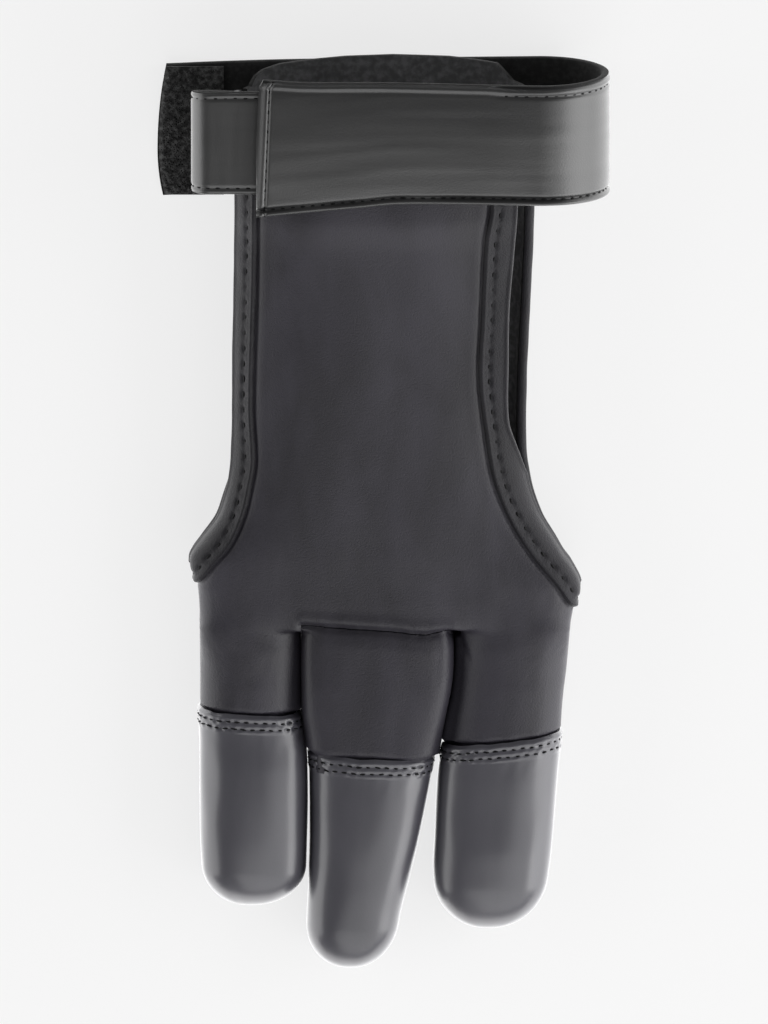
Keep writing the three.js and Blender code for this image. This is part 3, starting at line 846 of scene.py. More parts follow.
def stall_share(name, v):
    """Share of the stall's length at row v: rows lie closer on the sewn band and round the dome."""
    finger = FINGERS[name]
    dome = finger["dome"]
    band = BAND_LENGTH / (finger["tip"] - finger["mouth"])
    if v < BAND_ROWS:
        return band * v / BAND_ROWS
    if v < 1 - DOME_ROWS:
        return lerp(band, dome, (v - BAND_ROWS) / (1 - DOME_ROWS - BAND_ROWS))
    return lerp(dome, 1.0, math.sin(math.pi / 2 * (v - 1 + DOME_ROWS) / DOME_ROWS))


def stall_point(name, along, angle, out=0.0):
    """A point of the stall's outside, let out by a distance, with its mouth's lean."""
    finger = FINGERS[name]
    section = inset_section(stall_section(name, along), -out * clamp((1 - along) * 25))
    x, z = ring_point(section, angle)
    lean = finger["tilt"] * (x - finger["middle"]) * (1 - along) ** 2
    lean += 0.28 * noise.noise(Vector((x / 3.5, z / 3.5, finger["mouth"]))) * (1 - along) ** 8
    return Vector((x, -lerp(finger["mouth"], finger["tip"], along) + lean, max(z, 0.0)))


def stall_relief(name, distance, angle, walked):
    """The sewn band round a stall's mouth: turned edge, and two pressed rows with pulled stitches."""
    relief = -0.5 * hump(distance, 0.45)
    relief += 0.16 * smooth(0.2, 0.9, distance) * smooth(4.6, 3.6, distance)
    for row, start in zip(ROWS_FROM_MOUTH, ROW_STARTS):
        uneven = 0.8 + 0.5 * noise.noise(Vector((walked / 3.1, row, len(name))))
        relief -= uneven * (0.08 + 0.32 * pull(walked, STALL_PITCH, start)) * hump(distance - row, 0.5)
    wave = noise.noise(Vector((2.2 * math.cos(angle), 2.2 * math.sin(angle), distance / 13 + len(name))))
    drawn = noise.noise(Vector((walked / 2.6, distance / 9, 3.3))) * hump(distance - 5.5, 2.5)
    rough = noise.noise(Vector((walked / 1.3, distance / 0.9, 5.1))) * smooth(4.8, 4.0, distance)
    return relief + 0.15 * wave * smooth(3.0, 12.0, distance) + 0.1 * drawn + 0.08 * rough


def make_stall(name, materials, thread):
    finger = FINGERS[name]
    length = finger["tip"] - finger["mouth"]
    angles = [2 * math.pi * k / STALL_AROUND for k in range(STALL_AROUND + 1)]
    walked = steps_walked([stall_point(name, 0.05, angle) for angle in angles])

    def place(u, v):
        along = stall_share(name, v)
        k = round(u * STALL_AROUND)
        relief = stall_relief(name, along * length, angles[k], walked[k % STALL_AROUND])
        return stall_point(name, along, angles[k], relief)

    bm = grid(STALL_AROUND, STALL_ALONG, place)
    bmesh.ops.remove_doubles(bm, verts=bm.verts, dist=0.01)
    bmesh.ops.recalc_face_normals(bm, faces=bm.faces)
    piece = new_piece(f"{name}_cap", bm, materials)
    add_wall(piece, STALL_LEATHER)
    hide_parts(f"{name}_stall")
    stitches = bmesh.new()
    for row, start in zip(ROWS_FROM_MOUTH, ROW_STARTS):
        along = row / length
        path = []
        for angle, far in zip(angles, walked):
            spot = stall_point(name, along, angle, stall_relief(name, row, angle, far) + 0.12)
            across = stall_point(name, along, angle + 0.01) - stall_point(name, along, angle - 0.01)
            down = stall_point(name, along + 0.01, angle) - stall_point(name, along, angle)
            path.append((spot, across.cross(down).normalized()))
        sew(stitches, path, STALL_PITCH, 1.5, 0.45, start)
    sewn = new_piece(f"{name}_cap_stitches", stitches, [thread])
    return [piece, sewn]


# Hems along the side cut-outs

def hand_angle_of_x(section, side, x):
    """Angle above the side of the upper section where it has this X."""
    above = section["power_right" if side > 0 else "power_left"]
    middle = (section["left"] + section["right"]) / 2
    half = (section["right"] - section["left"]) / 2
    return math.acos(clamp(side * (x - middle) / half) ** (above / 2))


def hand_angle_of_z(section, side, z):
    above = section["power_right" if side > 0 else "power_left"]
    middle = (section["low"] + section["high"]) / 2
    half = (section["high"] - section["low"]) / 2
    if z >= middle:
        return math.asin(clamp((z - middle) / half) ** (above / 2))
    return -math.asin(clamp((middle - z) / half / PRESS) ** (section["power_below"] / 2))


def hand_point(side, y, angle):
    """A point of the hand's outside at an angle above its side, and the way out from it."""
    section = hand_section(max(y, 0.0))

    def at(turn):
        x, z = ring_point(section, turn if side > 0 else math.pi - turn)
        return Vector((x, y, z))

    spot = at(angle)
    tangent = at(angle + 0.02) - at(angle - 0.02)
    normal = Vector((side * tangent.z, 0, -side * tangent.x)).normalized()
    if normal.z < 0 and angle > 0.3:
        normal = -normal
    return spot + normal * leather_waves(spot), normal


HEM_ROWS = 300
HEM_COLUMNS = 26
HEM_RISE = 0.85
HEM_BEAD = 0.24
HEM_STITCH = 2.35
HEM_LIP = [
    (0.22, 0.72), (0.4, 0.42), (0.48, 0.0), (0.42, -0.45), (0.28, -0.85),
    (0.16, -0.95), (0.08, -0.6), (0.06, -0.1),
]
HEM_UNDER = 5


def hem_height(inner, outer, walked):
    """Height of a hem over the leather, by the distances to its inner and its outer edge."""
    turned = math.sqrt(1 - (1 - min(inner / 0.5, 1.0)) ** 2)
    height = HEM_RISE * turned + HEM_BEAD * (hump(inner - 0.6, 0.4) + 1.3 * hump(outer - 0.45, 0.4))
    uneven = 1 + 0.5 * noise.noise(Vector((walked / 4.2, 1.5, 0)))
    height -= uneven * (0.1 + 0.3 * pull(walked, HEM_PITCH)) * hump(inner - HEM_STITCH, 0.55)
    return height + 0.07 * noise.noise(Vector((walked / 5.5, inner / 2.2, 9.1)))


def hem_row(line, side, v):
    """Points and ways out at even steps from a hem's inner edge to its outer, and its width there."""
    (inner_y, inner), (outer_y, outer) = line(side, v)
    fine = []
    for k in range(HEM_COLUMNS * 2 + 1):
        share = k / (HEM_COLUMNS * 2)
        fine.append(hand_point(side, lerp(inner_y, outer_y, share), lerp(inner, outer, share)))
    walked = steps_walked([spot for spot, _ in fine])
    points = []
    for k in range(HEM_COLUMNS + 1):
        wanted = walked[-1] * k / HEM_COLUMNS
        i = min(np.searchsorted(walked, wanted, side="right"), len(walked) - 1)
        share = (wanted - walked[i - 1]) / max(walked[i] - walked[i - 1], 1e-6)
        normal = fine[i - 1][1].lerp(fine[i][1], share).normalized()
        points.append((fine[i - 1][0].lerp(fine[i][0], share), normal))
    return points, walked[-1]


def palm_hem_line(side, v):
    """Inner and outer point (Y and angle) of the palm hem at a share of its run from the wrist."""
    inner_y = lerp(PALM_END, HEM_END[side], v)
    outer_y = inner_y
    if inner_y < HEM_TURN:
        share = (inner_y - HEM_END[side]) / (HEM_TURN - HEM_END[side])
        outer_y = lerp(SLOT_START[side] + 0.2, HEM_TURN, share)
    inner_x = hem_inner_at(side, round(inner_y, 2))[0]
    inner = hand_angle_of_x(hand_section(inner_y), side, inner_x)
    outer_section = hand_section(outer_y)
    outer = hand_angle_of_z(outer_section, side, edge_height(side, outer_y, PALM_EDGE_SHARE))
    if side > 0:
        edge_x = table_at(PALM_RIGHT_EDGE, outer_y / HAND_LENGTH, "across") * HAND_HALF_WIDTH
        outer = max(outer, hand_angle_of_x(outer_section, side, edge_x))
    return (inner_y, inner), (outer_y, outer)


def back_hem_line(side, v):
    y = lerp(BACK_HEM_END, SLOT_START[side] + 0.2, v)
    section = hand_section(y)
    edge = hand_angle_of_z(section, side, edge_height(side, y, BACK_EDGE_SHARE))
    reach = BACK_HEM_WIDTH / (0.5 * (section["high"] - section["low"]))
    return (y, edge - reach), (y, edge)


def make_hem(name, node, line, side, material, thread):
    """A strip folded round a cut edge and sewn through."""
    rows = [hem_row(line, side, k / HEM_ROWS) for k in range(HEM_ROWS + 1)]
    path = []
    for points, width in rows:
        column = HEM_STITCH / width * HEM_COLUMNS
        k = min(int(column), HEM_COLUMNS - 1)
        path.append((points[k][0].lerp(points[k + 1][0], column - k), points[k][1]))
    walked = steps_walked([spot for spot, _ in path])
    outline = [(k, 0.0, None) for k in range(HEM_COLUMNS + 1)]
    outline += [(HEM_COLUMNS, past, height) for past, height in HEM_LIP]
    outline += [(round(HEM_COLUMNS * (1 - k / HEM_UNDER)), 0.0, 0.02) for k in range(HEM_UNDER + 1)]
    count = len(outline)

    def place(u, v):
        k, past, height = outline[round(u * count) % count]
        row = round(v * HEM_ROWS)
        points, width = rows[row]
        spot, normal = points[k]
        if height is None:
            inner = width * k / HEM_COLUMNS
            height = hem_height(inner, width - inner, walked[row])
        across = (points[-1][0] - points[-3][0]).normalized()
        return spot + normal * height + across * past

    bm = close_up(grid(count, HEM_ROWS, place))
    piece = new_piece(name, bm, [material])
    add_edge(piece, 0.3, 3)
    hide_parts(node)
    stitches = bmesh.new()
    seated = [(spot + up * (HEM_RISE - 0.28), up) for spot, up in path]
    sew(stitches, seated, HEM_PITCH, 2.0, 0.62)
    sewn = new_piece(f"{name}_stitches", stitches, [thread])
    return [piece, sewn]


# Strap and band

def line_points(a, b, steps):
    return [lerp(np.array(a), np.array(b), k / steps) for k in range(steps + 1)]


def arc_points(middle, radius, start, end, steps):
    angles = [lerp(start, end, k / steps) for k in range(steps + 1)]
    return [middle + radius * np.array([math.cos(t), math.sin(t)]) for t in angles]


def strap_path():
    bend_x = STRAP_RIGHT - STRAP_THICKNESS / 2 - STRAP_BEND_RADIUS
    middle = np.array([bend_x, STRAP_FRONT_Z - STRAP_BEND_RADIUS])
    front = line_points((STRAP_FLAP_END, STRAP_FRONT_Z), (bend_x, STRAP_FRONT_Z), 90)
    bend = arc_points(middle, STRAP_BEND_RADIUS, math.pi / 2, -math.pi / 2, 90)
    back = line_points((bend_x, STRAP_THICKNESS / 2), (STRAP_TAIL_END, STRAP_THICKNESS / 2), 100)
    return front[:-1] + bend + back[1:]


def band_path():
    fold_x = BAND_LEFT + BAND_THICKNESS / 2 + BAND_FOLD_RADIUS
    middle = np.array([fold_x, BAND_Z - BAND_FOLD_RADIUS])
    wrist = hand_section(HAND_LENGTH)
    height = lerp(wrist["low"], wrist["high"], BACK_EDGE_SHARE[-1])
    corner_x, corner_z = ring_point(wrist, math.pi - hand_angle_of_z(wrist, -1, height))
    to_corner = np.array([corner_x, corner_z]) - middle
    reach = BAND_THICKNESS / 2 + SEAT
    spread = math.acos((BAND_FOLD_RADIUS - reach) / np.linalg.norm(to_corner))
    turn = math.atan2(to_corner[1], to_corner[0]) - spread
    away = np.array([math.cos(turn), math.sin(turn)])
    down = np.array([-away[1], away[0]])
    end = middle + to_corner + away * reach + down * BAND_LAP
    front = line_points((BAND_HIDDEN_END, BAND_Z), (fold_x, BAND_Z), 30)
    arc = arc_points(middle, BAND_FOLD_RADIUS, math.pi / 2, turn + 2 * math.pi, 40)
    leg = line_points(arc[-1], end, 24)
    path = front[:-1] + arc + leg[1:]
    return path[::-1]


EDGE_ROUND = 0.4
RIM_COLUMNS = 14
FACE_COLUMNS = 24
RIM_WIDTH = 3.4
RIM_STEPS = 14
LENGTH_STEP = 0.62


class Strip:
    """A flat strip of leather led along a path in XZ, with its width along Y."""

    def __init__(self, path, thickness, edges, middle_y, width, relief, ends):
        self.path = np.array(path)
        steps = np.linalg.norm(np.diff(self.path, axis=0), axis=1)
        self.lengths = np.concatenate([[0.0], np.cumsum(steps)])
        self.total = self.lengths[-1]
        runs = np.gradient(self.path, axis=0)
        runs /= np.linalg.norm(runs, axis=1)[:, None]
        self.normals = np.stack([-runs[:, 1], runs[:, 0]], axis=1)
        self.thickness = thickness
        self.edges = edges
        self.middle_y = middle_y
        self.width = width
        self.relief = relief
        self.ends = ends

    def edge_lines(self, length):
        along = length / self.total
        low = self.middle_y + table_at(self.edges, along, "low") * self.width
        high = self.middle_y + table_at(self.edges, along, "high") * self.width
        return low, high

    def surface(self, length, y, face=1.0, lift=0.0):
        """A place on a face of the strip, 1 outside and -1 inside, and the way out from it."""
        low, high = self.edge_lines(length)
        moved = length + self.ends(length, self.total - length, clamp((y - low) / (high - low)))
        x, z, out_x, out_z = (
            np.interp(moved, self.lengths, column)
            for column in (self.path[:, 0], self.path[:, 1], self.normals[:, 0], self.normals[:, 1])
        )
        out = face * self.thickness / 2 + lift
        if face > 0.9:
            out += self.relief(length, self.total - length, y - low, high - y)
        return Vector((x + out_x * out, y, z + out_z * out)), Vector((out_x, 0, out_z))

    def line(self, start, end, offset, from_high, lift):
        """Points with ways out along the outer face, at an offset from one edge."""
        path = []
        for k in range(401):
            length = lerp(start, end, k / 400)
            low, high = self.edge_lines(length)
            path.append(self.surface(length, high - offset if from_high else low + offset, 1.0, lift))
        return path

    def row_lengths(self):
        rim = [RIM_WIDTH * k / RIM_STEPS for k in range(RIM_STEPS)]
        steps = round((self.total - RIM_WIDTH) / LENGTH_STEP)
        return rim + [lerp(RIM_WIDTH, self.total, k / steps) for k in range(steps + 1)]

    def column_shares(self):
        rim = RIM_WIDTH / self.width
        low = [rim * k / RIM_COLUMNS for k in range(RIM_COLUMNS)]
        middle = [lerp(rim, 1 - rim, k / FACE_COLUMNS) for k in range(FACE_COLUMNS)]
        high = [1 - rim + rim * k / RIM_COLUMNS for k in range(RIM_COLUMNS + 1)]
        return low + middle + high

    def mesh(self):
        outline = [(share, 1.0) for share in self.column_shares()]
        outer = len(outline)
        outline += [(1.0, math.cos(math.pi * k / 6)) for k in range(1, 6)]
        outline += [(1 - k / FACE_COLUMNS, -1.0) for k in range(FACE_COLUMNS + 1)]
        outline += [(0.0, -math.cos(math.pi * k / 6)) for k in range(1, 6)]
        count = len(outline)
        rows = self.row_lengths()

        def place(u, v):
            share, face = outline[round(u * count) % count]
            length = rows[round(v * (len(rows) - 1))]
            low, high = self.edge_lines(length)
            rounding = EDGE_ROUND * (1 - math.sqrt(max(0.0, 1 - face * face)))
            return self.surface(length, lerp(low + rounding, high - rounding, share), face)[0]

        def paint(u, v):
            return 0 if u * count < outer or u * count > count - 4 else 1

        return close_up(grid(count, len(rows) - 1, place, paint))


LOW_MARGIN = 1.5
HIGH_MARGIN = 2.5
FLAP_MARGIN = 2.3
ROLL_FROM = 52.0
ROLL_TO = 60.0


def strap_ends(from_flap, to_tail, share):
    """The slant of the flap's end, and the rounded end of the tail."""
    slant = lerp(-0.8, 0.7, share) + 0.9 * smooth(0.93, 1.0, share)
    rise = max(0.0, (share - 0.35) / 0.65)
    fall = max(0.0, (0.35 - share) / 0.35)
    bow = 2.05 * rise ** 2 + 1.3 * fall ** 2
    return slant * smooth(12.0, 0.0, from_flap) - bow * smooth(12.0, 0.0, to_tail)


def strap_relief(from_flap, to_tail, from_low, from_high):
    """The strap's outer face: crown, sewn groove, turned rims and the slack between them."""
    share = from_low / (from_low + from_high)
    relief = lerp(1.1, 0.15, smooth(54.0, 76.0, from_flap)) * (1 - (2 * share - 1) ** 2)
    groove = 0.75 + 0.3 * noise.noise(Vector((from_flap / 9, 0.4, 0)))
    relief += 0.2 * hump(from_low - 0.75, 0.35)
    relief -= groove * hump(from_low - LOW_MARGIN - 0.15, 0.5)
    relief -= 0.4 * hump(from_flap - FLAP_MARGIN - 0.2, 0.35) + 0.75 * smooth(2.2, 0.0, from_flap)
    rolled = smooth(ROLL_FROM, ROLL_TO, from_flap)
    bead = 0.3 * hump(from_high - 1.15, 0.6) - 0.12 * hump(from_high - 2.2, 0.5)
    bead -= 0.6 * smooth(0.7, 0.0, from_high)
    turned = 0.14 * hump(from_high - 1.5, 0.5) - 0.45 * hump(from_high - HIGH_MARGIN, 0.45)
    turned -= 0.95 * smooth(1.3, 0.0, from_high)
    relief += lerp(bead, turned, rolled)
    fold = smooth(22.0, 34.0, from_flap) * smooth(64.0, 52.0, from_flap)
    relief -= 0.1 * fold * hump(from_high - 7.6, 0.7)
    relief += 0.1 * noise.noise(Vector((from_flap / 22, from_low / 7, 1.7)))
    return relief + 0.08 * noise.noise(Vector((from_flap / 30, from_low / 1.9, 8.7)))


def band_relief(from_end, to_hidden, from_low, from_high):
    edge = min(from_low, from_high)
    relief = -0.25 * hump(edge - LOW_MARGIN, 0.4) - 0.35 * smooth(0.8, 0.0, edge)
    creases = noise.noise(Vector((from_end / 0.9, from_low / 17, 4.4)))
    return relief + 0.08 * noise.noise(Vector((from_end / 3, from_low / 26, 4.4))) + 0.05 * creases


def make_strap(materials, thread):
    strap = Strip(
        strap_path(), STRAP_THICKNESS, STRAP_EDGES, STRAP_MIDDLE_Y, STRAP_WIDTH, strap_relief, strap_ends
    )
    piece = new_piece("strap", strap.mesh(), materials)
    add_edge(piece, 0.35, 3)
    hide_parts("wrist_strap")
    bm = bmesh.new()
    last = strap.total - 1.2
    sew(bm, strap.line(1.2, last, LOW_MARGIN, False, 0.06), STRAP_PITCH, 1.55, 0.5)
    sew(bm, strap.line(ROLL_FROM + 4, last, HIGH_MARGIN, True, 0.06), STRAP_PITCH, 1.55, 0.5)
    low, high = strap.edge_lines(FLAP_MARGIN)
    end = [
        strap.surface(FLAP_MARGIN + 0.2, lerp(high - 1.6, low + LOW_MARGIN, k / 80), 1.0, 0.06)
        for k in range(81)
    ]
    sew(bm, end, STRAP_PITCH, 1.55, 0.5)
    return [piece, new_piece("strap_stitches", bm, [thread])]


def make_band(materials, thread):
    band = Strip(
        band_path(), BAND_THICKNESS, BAND_EDGES, BAND_MIDDLE_Y, BAND_WIDTH, band_relief,
        lambda from_end, to_hidden, share: 0.0,
    )
    piece = new_piece("band", band.mesh(), materials)
    add_edge(piece, 0.35, 3)
    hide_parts("cuff_band")
    bm = bmesh.new()
    for from_high in (False, True):
        sew(bm, band.line(1.5, band.total - 3, LOW_MARGIN, from_high, 0.05), STRAP_PITCH, 1.5, 0.45)
    return [piece, new_piece("band_stitches", bm, [thread])]


PATCH_EXTRA = Vector((0.9, 0.8, 0))
PATCH_CUTS = 11
HOOK_PITCH = 0.55
HOOK_EDGE = 0.45
HOOK_ROOT = 0.13
HOOK_TIP = 0.07
WEB_HEIGHT = 0.5


def hook_patch(material):
    """A woven base with a nap of small hooks."""
    low, high = (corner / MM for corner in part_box("hook_patch"))
    low.y -= CROTCH_Y
    high.y -= CROTCH_Y
    low -= PATCH_EXTRA
    high.y += PATCH_EXTRA.y

    def trimmed(x, y):
        share = (y - STRAP_MIDDLE_Y + 0.65 * STRAP_WIDTH) / (1.1 * STRAP_WIDTH)
        return x - strap_ends(99.0, x - STRAP_TAIL_END, clamp(share))

    bm = bmesh.new()
    bmesh.ops.create_cube(bm, size=1.0)
    bmesh.ops.subdivide_edges(bm, edges=bm.edges, cuts=PATCH_CUTS, use_grid_fill=True)
    for vert in bm.verts:
        x = lerp(low.x, high.x, vert.co.x + 0.5)
        y = lerp(low.y, high.y, vert.co.y + 0.5)
        vert.co = Vector((trimmed(x, y), y, low.z - 0.2 + WEB_HEIGHT * (vert.co.z + 0.5)))
    across = int((high.x - low.x - 2 * HOOK_EDGE) / HOOK_PITCH)
    along = int((high.y - low.y - 2 * HOOK_EDGE) / HOOK_PITCH)
    for i in range(across):
        for j in range(along):
            x = low.x + HOOK_EDGE + (i + 0.5 + random.uniform(-0.35, 0.35)) * HOOK_PITCH
            y = low.y + HOOK_EDGE + (j + 0.5 + random.uniform(-0.35, 0.35)) * HOOK_PITCH
            height = random.uniform(0.35, 0.8)
            lean = Vector((random.uniform(-0.4, 0.4), random.uniform(-0.4, 0.4), 0))
            made = bmesh.ops.create_cone(
                bm, cap_ends=True, segments=4, radius1=HOOK_ROOT, radius2=HOOK_TIP, depth=1.0
            )["verts"]
            for vert in made:
                rise = vert.co.z + 0.5
                root = Vector((trimmed(x, y), y, low.z + WEB_HEIGHT - 0.28))
                vert.co = root + lean * rise + Vector((vert.co.x, vert.co.y, rise * height))
    piece = new_piece("hook_nap", bm, [material])
    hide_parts("hook_patch")
    return piece


# Finishes

class Value:
    """A shader socket that adds Math nodes when it is used in an expression."""

    def __init__(self, finish, socket):
        self.finish = finish
        self.socket = socket

    def math(self, operation, a, b):
        return self.finish.node("ShaderNodeMath", {"operation": operation}, {0: a, 1: b})

    def __add__(self, other):
        return self.math("ADD", self, other)

    def __radd__(self, other):
        return self.math("ADD", other, self)

    def __sub__(self, other):
        return self.math("SUBTRACT", self, other)

    def __rsub__(self, other):
        return self.math("SUBTRACT", other, self)

    def __mul__(self, other):
        return self.math("MULTIPLY", self, other)

    def __rmul__(self, other):
        return self.math("MULTIPLY", other, self)


class Finish:
    """A material and its nodes."""

    def __init__(self, name):
        self.material = bpy.data.materials.new(name)
        self.material.use_nodes = True
        self.tree = self.material.node_tree
        self.shader = self.tree.nodes["Principled BSDF"]
        self.place = self.node("ShaderNodeTexCoord", {}, {}, "Object")

    def node(self, kind, settings, inputs, output=0):
        made = self.tree.nodes.new(kind)
        for key, value in settings.items():
            setattr(made, key, value)
        for key, value in inputs.items():
            if isinstance(value, Value):
                self.tree.links.new(value.socket, made.inputs[key])
            else:
                made.inputs[key].default_value = value
        return Value(self, made.outputs[output])

    def put(self, name, value):
        if isinstance(value, Value):
            self.tree.links.new(value.socket, self.shader.inputs[name])
        else:
            self.shader.inputs[name].default_value = value

    def noise(self, scale, detail=3.0, roughness=0.5, distortion=0.0, place=None):
        return self.node("ShaderNodeTexNoise", {}, {
            "Vector": place or self.place, "Scale": scale, "Detail": detail,
            "Roughness": roughness, "Distortion": distortion,
        }, "Fac")

    def cells(self, scale, feature="F1", place=None):
        return self.node("ShaderNodeTexVoronoi", {"feature": feature}, {
            "Vector": place or self.place, "Scale": scale,
        }, "Distance")

    def stretched(self, x, y, z):
        return self.node("ShaderNodeVectorMath", {"operation": "MULTIPLY"}, {
            0: self.place, 1: (x, y, z),
        })

    def step(self, value, low, high):
        return self.node("ShaderNodeMapRange", {"interpolation_type": "SMOOTHSTEP"}, {
            "Value": value, "From Min": low, "From Max": high,
        })

    def mix(self, factor, a, b):
        return self.node("ShaderNodeMix", {"data_type": "RGBA"}, {
            0: factor, 6: a, 7: b,
        }, 2)

    def bump(self, height, distance, strength=1.0):
        normal = self.node("ShaderNodeBump", {}, {
            "Strength": strength, "Distance": distance, "Height": height,
        })
        self.put("Normal", normal)


def srgb(code):
    parts = [int(code[k:k + 2], 16) / 255 for k in (0, 2, 4)]
    return (*[c / 12.92 if c <= 0.04045 else ((c + 0.055) / 1.055) ** 2.4 for c in parts], 1.0)


def leather(name, dark, light, roughness, gloss, grain, depth, streak, coat, coat_roughness):
    """Dyed leather: pores, fine creases, cloudy colour and a satin that varies."""
    finish = Finish(name)
    cloud = finish.noise(38.0, 3.0, 0.55, 0.4, finish.stretched(*streak))
    pores = finish.step(finish.cells(grain), 0.0, 0.75)
    fine = finish.noise(grain * 1.7, 2.0)
    creases = 1 - finish.step(finish.cells(grain * 0.42, "DISTANCE_TO_EDGE"), 0.0, 0.09)
    tone = finish.step(cloud, 0.3, 0.72)
    finish.put("Base Color", finish.mix(tone * 0.8 + pores * 0.2, srgb(dark), srgb(light)))
    finish.put("Roughness", roughness + 0.12 * (cloud - 0.5) + 0.05 * pores)
    finish.put("Specular IOR Level", gloss)
    finish.put("Coat Weight", coat)
    finish.put("Coat Roughness", coat_roughness)
    finish.put("Coat IOR", 1.6)
    finish.bump(pores * 0.8 + fine * 0.35 - creases * 0.35, depth)
    return finish.material


def fibre(name, colour, roughness, scale, depth, light):
    """Thread, nap or flesh side: short fibres that catch the light unevenly."""
    finish = Finish(name)
    twist = finish.noise(scale, 3.0)
    dark = srgb(colour)
    paler = tuple(min(1.0, c * light) for c in dark)
    finish.put("Base Color", finish.mix(finish.step(twist, 0.35, 0.75), dark, paler))
    finish.put("Roughness", roughness + 0.1 * twist)
    finish.put("Specular IOR Level", 0.15)
    finish.bump(twist, depth)
    return finish.material


# Making

random.seed(7)
PALM, STALL, HEM, STRAP = (leather(**row) for row in table(
    "name dark light roughness gloss grain depth streak coat coat_roughness",
    ("palm_leather", "1b191f", "302e36", 0.46, 0.45, 2100.0, 0.00003, (1.6, 0.6, 1.0), 0.0, 0.25),
    ("stall_leather", "38373e", "44434a", 0.42, 0.3, 2600.0, 0.000012, (1.8, 0.5, 1.0), 0.9, 0.28),
    ("hem_leather", "19181b", "27262a", 0.5, 0.2, 2100.0, 0.00005, (1.0, 1.0, 1.0), 0.0, 0.25),
    ("strap_leather", "19191a", "272727", 0.38, 0.8, 2300.0, 0.000016, (0.25, 2.6, 1.0), 0.3, 0.3),
))
FLESH, LINING, THREAD, HOOKS = (fibre(**row) for row in table(
    "name colour roughness scale depth light",
    ("flesh_side", "444445", 0.85, 700.0, 0.00008, 1.8),
    ("dark_lining", "1c1c1c", 0.85, 900.0, 0.00008, 1.8),
    ("black_thread", "0e0e0f", 0.55, 2600.0, 0.00004, 1.8),
    ("hook_tape", "252525", 0.55, 900.0, 0.00003, 5.0),
))

skin = skin_mesh()
leather_sides = [PALM, FLESH]
pieces = [palm_panel(skin, leather_sides), middle_inset(skin, leather_sides)]
pieces.append(back_panel(skin, [PALM, FLESH, LINING]))
skin.free()
for finger_name in FINGERS:
    pieces += make_stall(finger_name, [STALL, FLESH], THREAD)
for panel, line in (("palm", palm_hem_line), ("back", back_hem_line)):
    for word, side in (("left", -1), ("right", 1)):
        pieces += make_hem(f"{panel}_edge_{word}", f"{panel}_hem_{word}", line, side, HEM, THREAD)
pieces += make_strap([STRAP, LINING], THREAD)
pieces += make_band([STRAP, LINING], THREAD)
pieces.append(hook_patch(HOOKS))
for piece in pieces:
    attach(piece, "root")

# Studio: a pale floor that glows, more strongly in what it lights and in reflections than as it is
# seen, dim light all round, a low light on each side and one past the fingers

SKY_STRENGTH = 0.2
FLOOR_SIDE = 60.0
TABLE_GLOW = 2.3
FLOOR_DROP = 0.0001
TABLE_SEEN = 0.74
floor_mesh = bmesh.new()
bmesh.ops.create_grid(floor_mesh, x_segments=1, y_segments=1, size=FLOOR_SIDE / 2)
bmesh.ops.translate(floor_mesh, verts=floor_mesh.verts, vec=(0, 0, -FLOOR_DROP))
mesh = bpy.data.meshes.new("floor")
floor_mesh.to_mesh(mesh)
floor_mesh.free()
floor = bpy.data.objects.new("floor", mesh)
bpy.context.scene.collection.objects.link(floor)
floor_finish = Finish("pale_floor")
glows = [
    floor_finish.node("ShaderNodeBsdfPrincipled", {}, {
        "Base Color": (0.2, 0.2, 0.2, 1.0), "Roughness": 1.0, "Specular IOR Level": 0.0,
        "Emission Color": (1.0, 1.0, 1.0, 1.0), "Emission Strength": strength,
    }, "BSDF")
    for strength in (TABLE_GLOW, TABLE_SEEN)
]
seen = floor_finish.node("ShaderNodeLightPath", {}, {}, "Is Camera Ray")
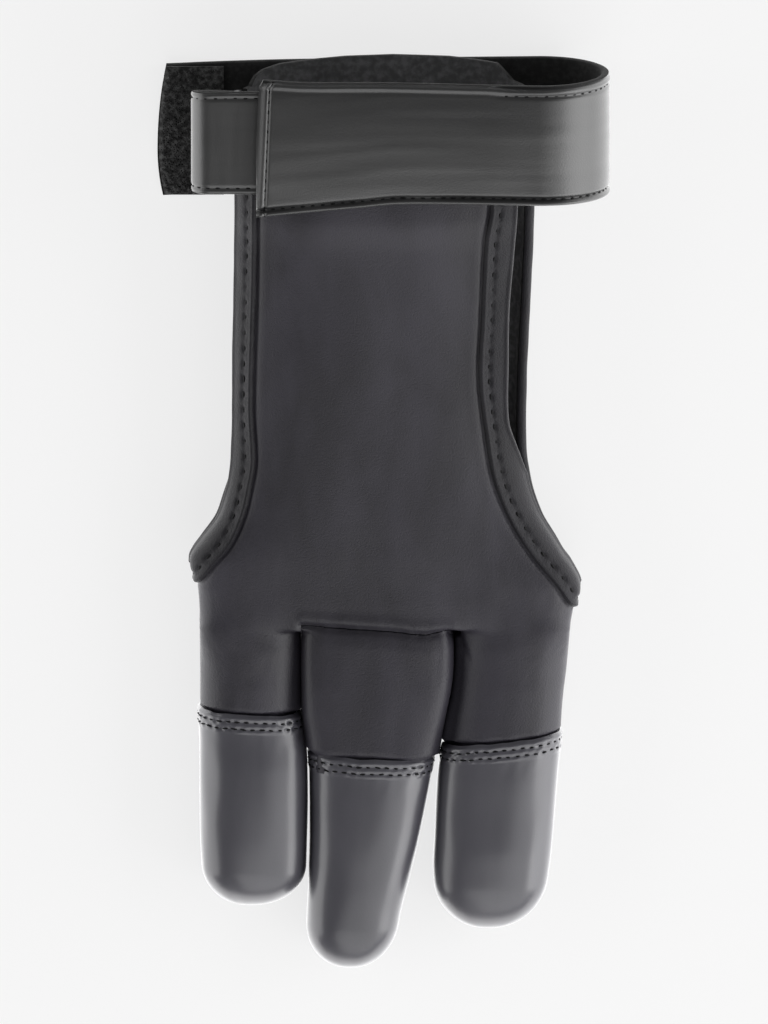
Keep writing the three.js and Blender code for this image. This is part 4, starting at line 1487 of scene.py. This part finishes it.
glow = floor_finish.node("ShaderNodeMixShader", {}, {0: seen, 1: glows[0], 2: glows[1]}, "Shader")
floor_nodes = floor_finish.tree.nodes
floor_nodes.remove(floor_finish.shader)
floor_finish.tree.links.new(glow.socket, floor_nodes["Material Output"].inputs["Surface"])
mesh.materials.append(floor_finish.material)

world = bpy.data.worlds.new("studio")
bpy.context.scene.world = world
world.use_nodes = True
sky = world.node_tree.nodes["Background"].inputs
sky["Color"].default_value = (1.0, 1.0, 1.0, 1.0)
sky["Strength"].default_value = SKY_STRENGTH


def soft_light(name, place, aim, size, radiance):
    """A rectangle of light that looks equally bright whatever its size."""
    light = bpy.data.lights.new(name, "AREA")
    light.shape = "RECTANGLE"
    light.size, light.size_y = size
    light.energy = radiance * math.pi * size[0] * size[1]
    lamp = bpy.data.objects.new(name, light)
    lamp.location = place
    lamp.rotation_euler = (Vector(aim) - Vector(place)).to_track_quat("-Z", "Y").to_euler()
    bpy.context.scene.collection.objects.link(lamp)


for lamp_row in table(
    "name place aim size radiance",
    ("low_left", (-0.8, -0.05, 0.26), (0, -0.02, 0.02), (1.2, 0.5), 2.3),
    ("low_right", (0.8, -0.05, 0.32), (0, 0, 0.02), (1.2, 0.62), 3.3),
    ("foot", (0.75, -1.45, 1.45), (0, 0.03, 0.02), (2.8, 2.2), 1.6),
):
    soft_light(**lamp_row)

# Camera: the photograph's view, from above and a little towards the wrist

TILT = math.radians(14)
LENS = 1200.0
FRAME_HEIGHT = 0.2355
SENSOR = 36.0
AIM = Vector((0.0002, -0.0018, 0.0))
camera = bpy.data.cameras.new("camera")
camera.lens = LENS
camera.sensor_width = SENSOR
camera.clip_start = 0.05
camera.clip_end = 100.0
viewer = bpy.data.objects.new("camera", camera)
distance = FRAME_HEIGHT * LENS / SENSOR
viewer.location = AIM + Vector((0, math.sin(TILT), math.cos(TILT))) * distance
viewer.rotation_euler = (-TILT, 0, 0)
bpy.context.scene.collection.objects.link(viewer)
bpy.context.scene.camera = viewer
bpy.context.scene.view_settings.view_transform = "Standard"
